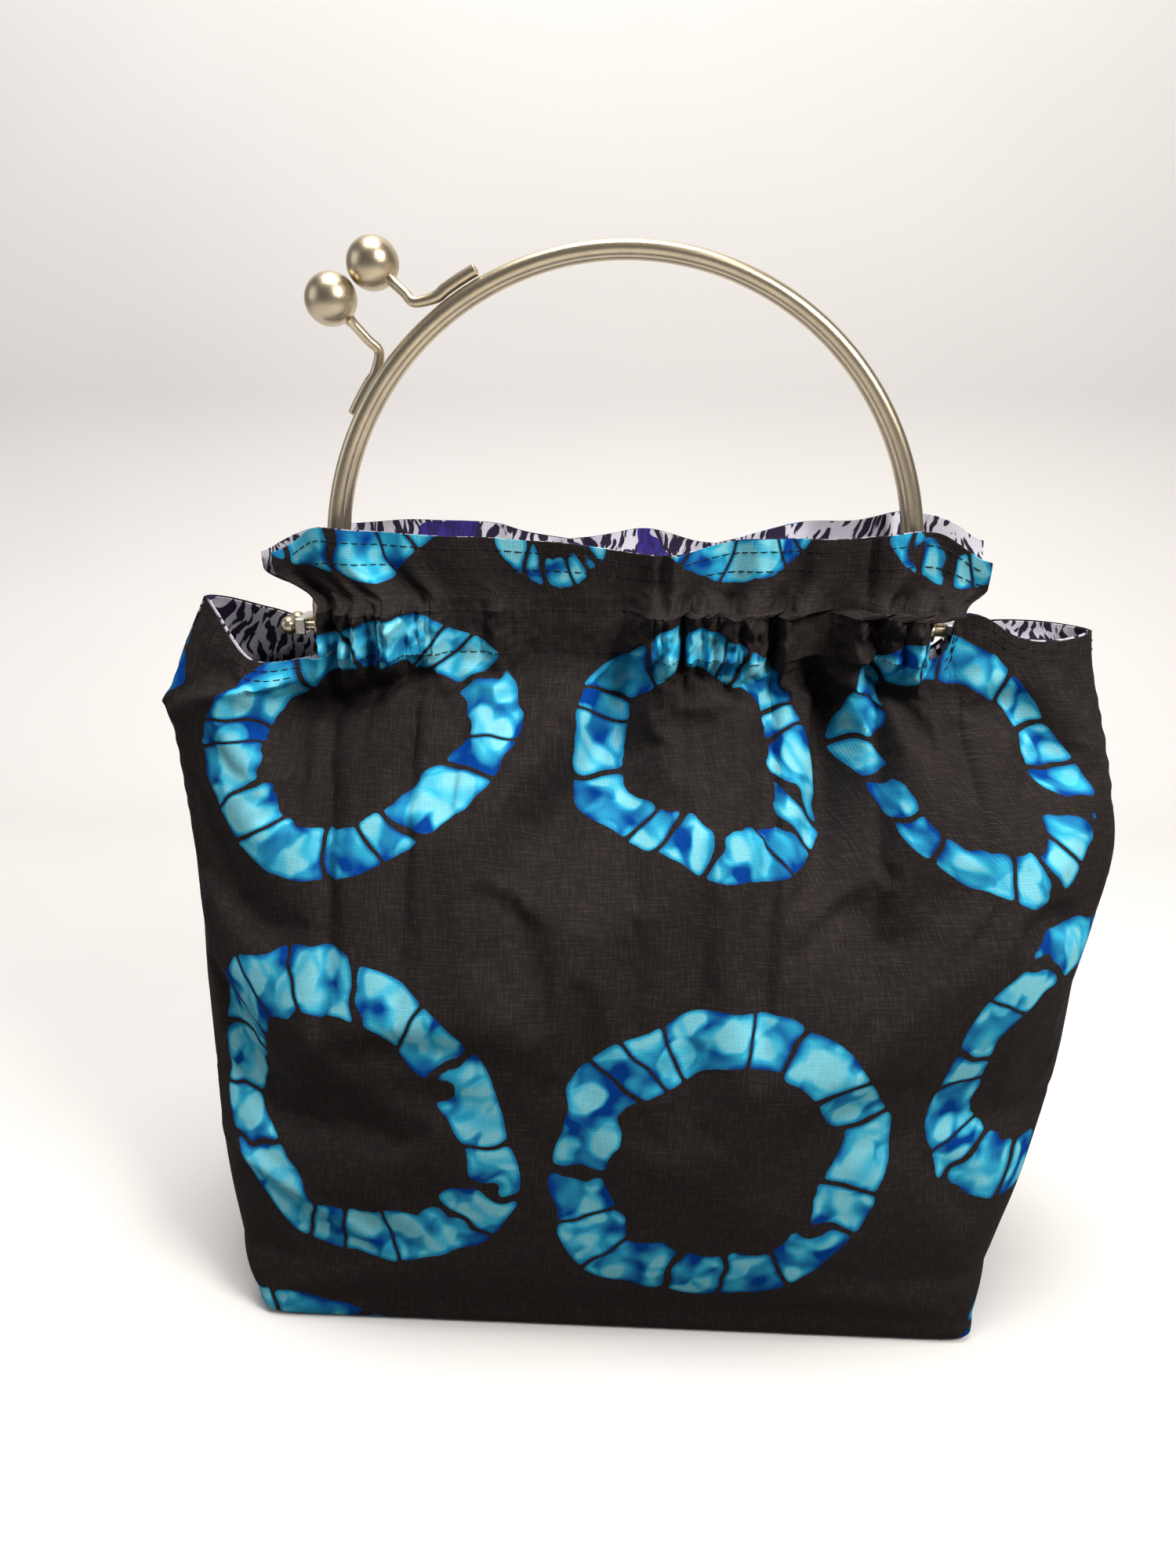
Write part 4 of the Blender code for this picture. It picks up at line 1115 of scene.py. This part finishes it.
def brushed_brass(name, grain):
    """Antique brass: fine brushed lines in its height, and darker brass where it is handled less.

    grain is how closely the lines are packed along x, y and z.
    """
    shader = Shader(name, (0.5, 0.43, 0.33))
    place = shader.place()
    lines = shader.noise(shader.scaled(place, *grain), 1.0, 3.0, 0.6)
    fine = shader.noise(shader.scaled(place, *(step * 2.7 for step in grain)), 1.0, 2.0, 0.6)
    patina = shader.noise(place, 130.0, 4.0, 0.6)
    worn = (patina - 0.5) * 0.9 + (lines - 0.5) * 0.55 + 0.58
    colour = shader.mix(worn.clamp(), BRASS_DARK, BRASS_LIGHT)
    roughness = 0.25 + lines * 0.12 + (0.5 - patina) * 0.14
    normal = shader.bump(lines + fine * 0.5, 0.00005, 0.6)
    return shader.finish(Base_Color=colour, Metallic=1.0, Roughness=roughness, Normal=normal)


def plated_steel():
    """Bright plated metal of the small end blocks."""
    shader = Shader("plated_steel", STEEL)
    scuff = shader.noise(shader.place(), 1400.0, 3.0, 0.6)
    colour = shader.mix(scuff.between(0.35, 0.7), DULL_STEEL, STEEL)
    normal = shader.bump(scuff, 0.00003, 0.5)
    return shader.finish(Base_Color=colour, Metallic=1.0, Roughness=0.20 + scuff * 0.16, Normal=normal)


def sewing_thread():
    """Black sewing thread with its twist."""
    shader = Shader("sewing_thread", (0.01, 0.01, 0.012))
    twist = shader.noise(shader.scaled(shader.place(), 5200.0, 5200.0, 2600.0), 1.0, 1.0)
    colour = shader.mix(twist, (0.004, 0.004, 0.005), (0.014, 0.012, 0.013))
    normal = shader.bump(twist, 0.00005, 0.6)
    return shader.finish(0.15, Base_Color=colour, Roughness=0.55 + twist * 0.15, Normal=normal)


def place_camera():
    """Camera at the photograph's viewpoint."""
    data = bpy.data.cameras.new("camera")
    data.sensor_fit = "VERTICAL"
    data.sensor_height = SENSOR_HEIGHT
    data.lens = LENS
    data.clip_start, data.clip_end = 0.01, 20.0
    camera = bpy.data.objects.new("camera", data)
    camera.location = CAMERA_PLACE
    camera.rotation_euler = (math.radians(90 - CAMERA_DOWN), 0.0, math.radians(CAMERA_LEFT))
    bpy.context.scene.collection.objects.link(camera)
    bpy.context.scene.camera = camera


def area_lamp(name, place, target, size, watts, colour):
    """A soft square lamp turned to a point."""
    data = bpy.data.lights.new(name, "AREA")
    data.size, data.energy, data.color = size, watts, colour
    lamp = bpy.data.objects.new(name, data)
    lamp.location = place
    lamp.rotation_euler = (Vector(place) - Vector(target)).to_track_quat("Z", "Y").to_euler()
    bpy.context.scene.collection.objects.link(lamp)


def studio_paper():
    """Pale paper that only the camera, metal and glass see as pale, so that it throws little light back."""
    shader = Shader("studio_paper", (0.86, 0.84, 0.82))
    tone = shader.mix(shader.noise(shader.place(), 6.0, 2.0), PAPER_DARK, PAPER_LIGHT)
    rays = shader.tree.nodes.new("ShaderNodeLightPath").outputs
    seen = Value(shader, rays["Is Camera Ray"])
    for name in ("Is Glossy Ray", "Is Transmission Ray"):
        seen = seen.maths("MAXIMUM", Value(shader, rays[name]))
    return shader.finish(Base_Color=shader.mix(seen, PAPER_UNSEEN, tone), Roughness=0.92)


def make_stage():
    """Pale floor that curves up into a pale backdrop, a plain world and soft lamps."""
    turn = np.linspace(0.0, math.pi / 2, 25)
    y = np.concatenate([[-1.6, -0.3], 0.36 + 0.25 * np.sin(turn), [0.61]])
    z = np.concatenate([[0.0, 0.0], 0.25 * (1 - np.cos(turn)), [2.2]])
    x = np.array([-2.2, 2.2])
    grid = np.stack([np.broadcast_to(x, (len(y), 2)), np.stack([y, y], 1), np.stack([z, z], 1)], 2)
    new_mesh("studio_paper", grid, strip_faces(len(y), 2), studio_paper(), None)
    world = bpy.data.worlds.new("studio")
    bpy.context.scene.world = world
    world.use_nodes = True
    back = world.node_tree.nodes["Background"]
    back.inputs["Color"].default_value = (0.96, 0.97, 1.0, 1.0)
    back.inputs["Strength"].default_value = 0.18
    target = (0.0, 0.0, 0.13)
    area_lamp("key", (0.32, -0.32, 0.52), target, 0.20, 3.1, (1.0, 0.97, 0.93))
    area_lamp("fill", (-0.9, -0.25, 0.5), target, 0.6, 1.4, (0.93, 0.96, 1.0))
    area_lamp("top", (-0.1, 0.10, 1.0), target, 0.5, 2.2, (1.0, 0.98, 0.95))
    area_lamp("backdrop", (0.0, -0.10, 1.5), (0.0, 0.61, 0.45), 0.8, 19.0, (1.0, 0.97, 0.94))


def state(piece, nodes, body="bag", turn=None):
    """Attaches a piece to its body, or only bakes its placement where a bend is given; then hides its nodes.
    """
    if turn:
        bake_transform(piece)
    else:
        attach(piece, body)
    if nodes:
        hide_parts(*nodes)


def base_grid(grids):
    """Flat base between the lowest rows of the front and back panels.

    The outermost columns are left out, because front and back meet there in
    one point.
    """
    first, last = grids["back"]["points"][0][::-1], grids["front"]["points"][0]
    kept = slice(2, len(first) - 2, 2)
    share = np.linspace(0.0, 1.0, 31)[:, None, None]
    points = first[None, kept] * (1 - share) + last[None, kept] * share
    normal = np.zeros_like(points)
    normal[..., 2] = -1.0
    return {"points": points, "normal": normal, "u": points[..., 0], "v": BASE_CLOTH_START - points[..., 1]}


def add_panels(outer_cloth, lining_cloth):
    """Front and back panels with their linings, and the flat base between them."""
    grids = {face: make_panel(face) for face in SIDES}
    inside = OUTER_WALL + LAYER_GAP
    for face, grid in grids.items():
        plain = thin(dict(grid, points=grid["lining"], normal=grid_normals(grid["lining"])), 2, 2)
        panel = closed_sheet(face + "_panel", grid, OUTER_WALL, 0.0, outer_cloth, face)
        lining = closed_sheet(face + "_panel_lining", plain, LINING_WALL, inside, lining_cloth, None)
        state(panel, ["bag_shell"])
        state(lining, ["bag_lining"])
    base = base_grid(grids)
    floor = closed_sheet("base_panel", base, OUTER_WALL, 0.0, outer_cloth, "front")
    under = closed_sheet("base_lining", base, LINING_WALL, inside, lining_cloth, None)
    state(floor, ["bag_shell"])
    state(under, ["bag_lining"])
    return grids


def inner_envelope(depth, reach=3):
    """Smooth surface that stays inside a pleated one: the least value within reach, then a running mean."""
    for gather in (np.min, np.mean):
        padded = np.pad(depth, ((0, 0), (reach, reach)), mode="edge")
        depth = gather(np.lib.stride_tricks.sliding_window_view(padded, 2 * reach + 1, axis=1), axis=2)
    return depth


def bend_line(face):
    """Start and end of the stretch over which a gathered top turns from the bag to its arch."""
    y = SIDES[face] * ROD_OFFSET
    return (0.0, y, ROD_HEIGHT + BEND_START), (0.0, y, ROD_HEIGHT + BEND_END)


def top_lining_grid(grid, face):
    """The gathered top's lining: behind the rod, and above it inside the outer cloth's pleats."""
    side = SIDES[face]
    backing = thin(grid, 1, 2)
    points = backing["points"]
    heights, _, shares = casing_profile(face)
    up = shares[:, None]
    round_rod = np.sqrt(np.clip(1 - ((heights - ROD_HEIGHT) / CASING_REACH) ** 2, 0, 1))
    behind = ROD_OFFSET - 0.0002 - BEHIND_ROD * round_rod
    at_end = smooth(points[..., 0] * side, 0.074, 0.083)
    frill = inner_envelope(np.abs(points[..., 1])) - OUTER_WALL - LAYER_GAP - TOP_LINING_INSET_ENDS * at_end
    frill = frill - TOP_LINING_INSET_LOW * (1 - smooth(up, 0.35, 0.80))
    flatten = 1 - smooth(up, 0.0, 0.15)
    y = flatten * behind[:, None] + (1 - flatten) * frill
    points[..., 1] = side * np.maximum(np.minimum(y, frill), 0.0002)
    points[..., 0] += side * TOP_LINING_SHIFT * at_end * smooth(up, 0.0, 0.3)
    return dict(backing, normal=grid_normals(points))


def add_tops(panels, outer_cloth, lining_cloth):
    """The casings and headers, each with its lining, baked in place."""
    tops = {}
    for face, side in SIDES.items():
        grid = make_top(face)
        panel = panels[face]
        rim_x = panel["points"][-1, :, 0] * -side
        low_x = grid["points"][0, :, 0] * -side
        grid["u"] = np.broadcast_to(np.interp(low_x, rim_x, panel["u"][-1]), grid["u"].shape)
        grid["v"] = grid["v"] + np.interp(low_x, rim_x, panel["v"][-1])
        grid["normal"] = grid_normals(grid["points"])
        tops[face] = grid
        nodes = [face + "_casing", face + "_header"]
        backing = top_lining_grid(grid, face)
        outer = closed_sheet(face + "_gathered_top", grid, OUTER_WALL, 0.0, outer_cloth, face)
        state(outer, nodes, face + "_frame", bend_line(face))
        lining = closed_sheet(face + "_top_lining", backing, LINING_WALL, 0.0, lining_cloth, None)
        state(lining, nodes, face + "_frame", bend_line(face))
    return tops


def stitches(line, normal):
    """Tubes of a running seam: one short thread per stitch, raised in its middle and sunk at its ends."""
    length = distance_along(line)
    count = max(int(length[-1] / STITCH_PITCH), 1)
    starts = np.arange(count) * STITCH_PITCH + STITCH_GAP / 2
    share = np.linspace(0.0, 1.0, 6)
    places = starts[:, None] + share[None, :] * (STITCH_PITCH - STITCH_GAP)
    middle, out = read_along(places, length, line), read_along(places, length, normal)
    out /= np.linalg.norm(out, axis=2, keepdims=True)
    lift = THREAD_RADIUS * (-0.9 + 1.5 * np.sin(math.pi * share))
    middle = middle + out * lift[None, :, None]
    ahead = np.gradient(middle, axis=1)
    ahead /= np.linalg.norm(ahead, axis=2, keepdims=True)
    across = np.cross(ahead, out)
    turn = 2 * math.pi * np.arange(6) / 6
    round_thread = (out[:, :, None] * np.cos(turn)[None, None, :, None]
                    + across[:, :, None] * np.sin(turn)[None, None, :, None])
    return list(middle[:, :, None] + THREAD_RADIUS * round_thread)


def row_points(points, rows, columns):
    """Points of a grid's columns, each at its own row, given as a fraction between rows."""
    low = rows.astype(int)
    high = np.minimum(low + 1, len(points) - 1)
    part = (rows - low)[:, None]
    return points[low, columns] * (1 - part) + points[high, columns] * part


def header_seams(grid):
    """Stitches of two rows along a header's top edge and one above its rod."""
    heights = grid["points"][:, HEADER_COLUMNS // 2, 2]
    levels = [heights[-1] - below for below in HEADER_STITCHING] + [ROD_HEIGHT + CASING_REACH]
    columns = np.arange(HEADER_COLUMNS)
    seams = []
    for level in levels:
        row = np.interp(level, heights, np.arange(len(heights)))
        line = row_points(grid["points"], np.full(HEADER_COLUMNS, row), columns)
        seams += stitches(line, grid["normal"][int(row)])
    return seams


def panel_seams(grid):
    """Stitches of the row below a rod and of two rows along each wing's top edge."""
    points, normal = grid["points"], grid["normal"]
    x = points[-1, :, 0]
    below_rod = np.abs(x) < CASING_HALF_LENGTH - 0.001
    seams = stitches(points[-1][below_rod], normal[-1][below_rod])
    for hand in (-1, 1):
        picked = np.nonzero(x * hand > CASING_HALF_LENGTH + 0.004)[0]
        for below in WING_STITCHING:
            rows = np.array([np.interp(z[-1] - below, z, np.arange(len(z))) for z in points[:, picked, 2].T])
            seams += stitches(row_points(points, rows, picked), normal[-3, picked])
    return seams


def add_topstitching(panels, tops, material):
    """The seams that show, in thread, along the headers and the panels."""
    for face in SIDES:
        header = add_tubes(face + "_header_stitching", header_seams(tops[face]), material)
        state(header, None, face + "_frame", bend_line(face))
        panel = add_tubes(face + "_panel_stitching", panel_seams(panels[face]), material)
        state(panel, None)


def add_metal():
    """Arches with their eyes, clasp arms and balls, nuts, and finishes for the rods and end links."""
    along_wire = brushed_brass("brushed_brass_wire", (2400.0, 2400.0, 2400.0))
    round_ball = brushed_brass("brushed_brass_ball", (2600.0, 400.0, 2600.0))
    steel = plated_steel()
    for face, side in SIDES.items():
        y = side * ROD_OFFSET
        body = face + "_frame"
        eyes = [turned((x, y, ROD_HEIGHT), (1, 0, 0), eye_profile(), 40) for x in (-EYE_X, EYE_X)]
        arch = add_tubes(face + "_arch_wire", [tube(arch_line(y), WIRE_RADIUS, 28)] + eyes, along_wire)
        state(arch, [face + "_arch"], body)
        centre, entry, line, radius = clasp_places(face)
        arm = add_tubes(face + "_clasp_wire", [tube(line, radius, 22)], along_wire)
        state(arm, [face + "_clasp_arm"], body)
        ball = turned(centre, entry, ball_profile(BALL_RADIUS), 72)
        bead = add_tubes(face + "_clasp_bead", [ball], round_ball)
        state(bead, [face + "_clasp_ball"], body)
        for hand, sign in (("left", -1), ("right", 1)):
            name = face + "_nut_" + hand
            nut = turned((sign * NUT_X, y, ROD_HEIGHT), (sign, 0, 0), ball_profile(NUT_RADIUS, 26), 40)
            state(add_tubes(name + "_bead", [nut], round_ball), [name])
    for name, finish in (("front_rod", along_wire), ("back_rod", along_wire),
                         ("link_left", steel), ("link_right", steel)):
        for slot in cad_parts[name].material_slots:
            slot.link = "OBJECT"
            slot.material = finish


def main():
    """Camera and stage, then the cloth, its stitching and the metal."""
    bpy.context.scene.view_settings.view_transform = "Standard"
    place_camera()
    make_stage()
    outer_cloth, lining_cloth = printed_cotton(), lining_cotton()
    panels = add_panels(outer_cloth, lining_cloth)
    tops = add_tops(panels, outer_cloth, lining_cloth)
    add_topstitching(panels, tops, sewing_thread())
    add_metal()


main()
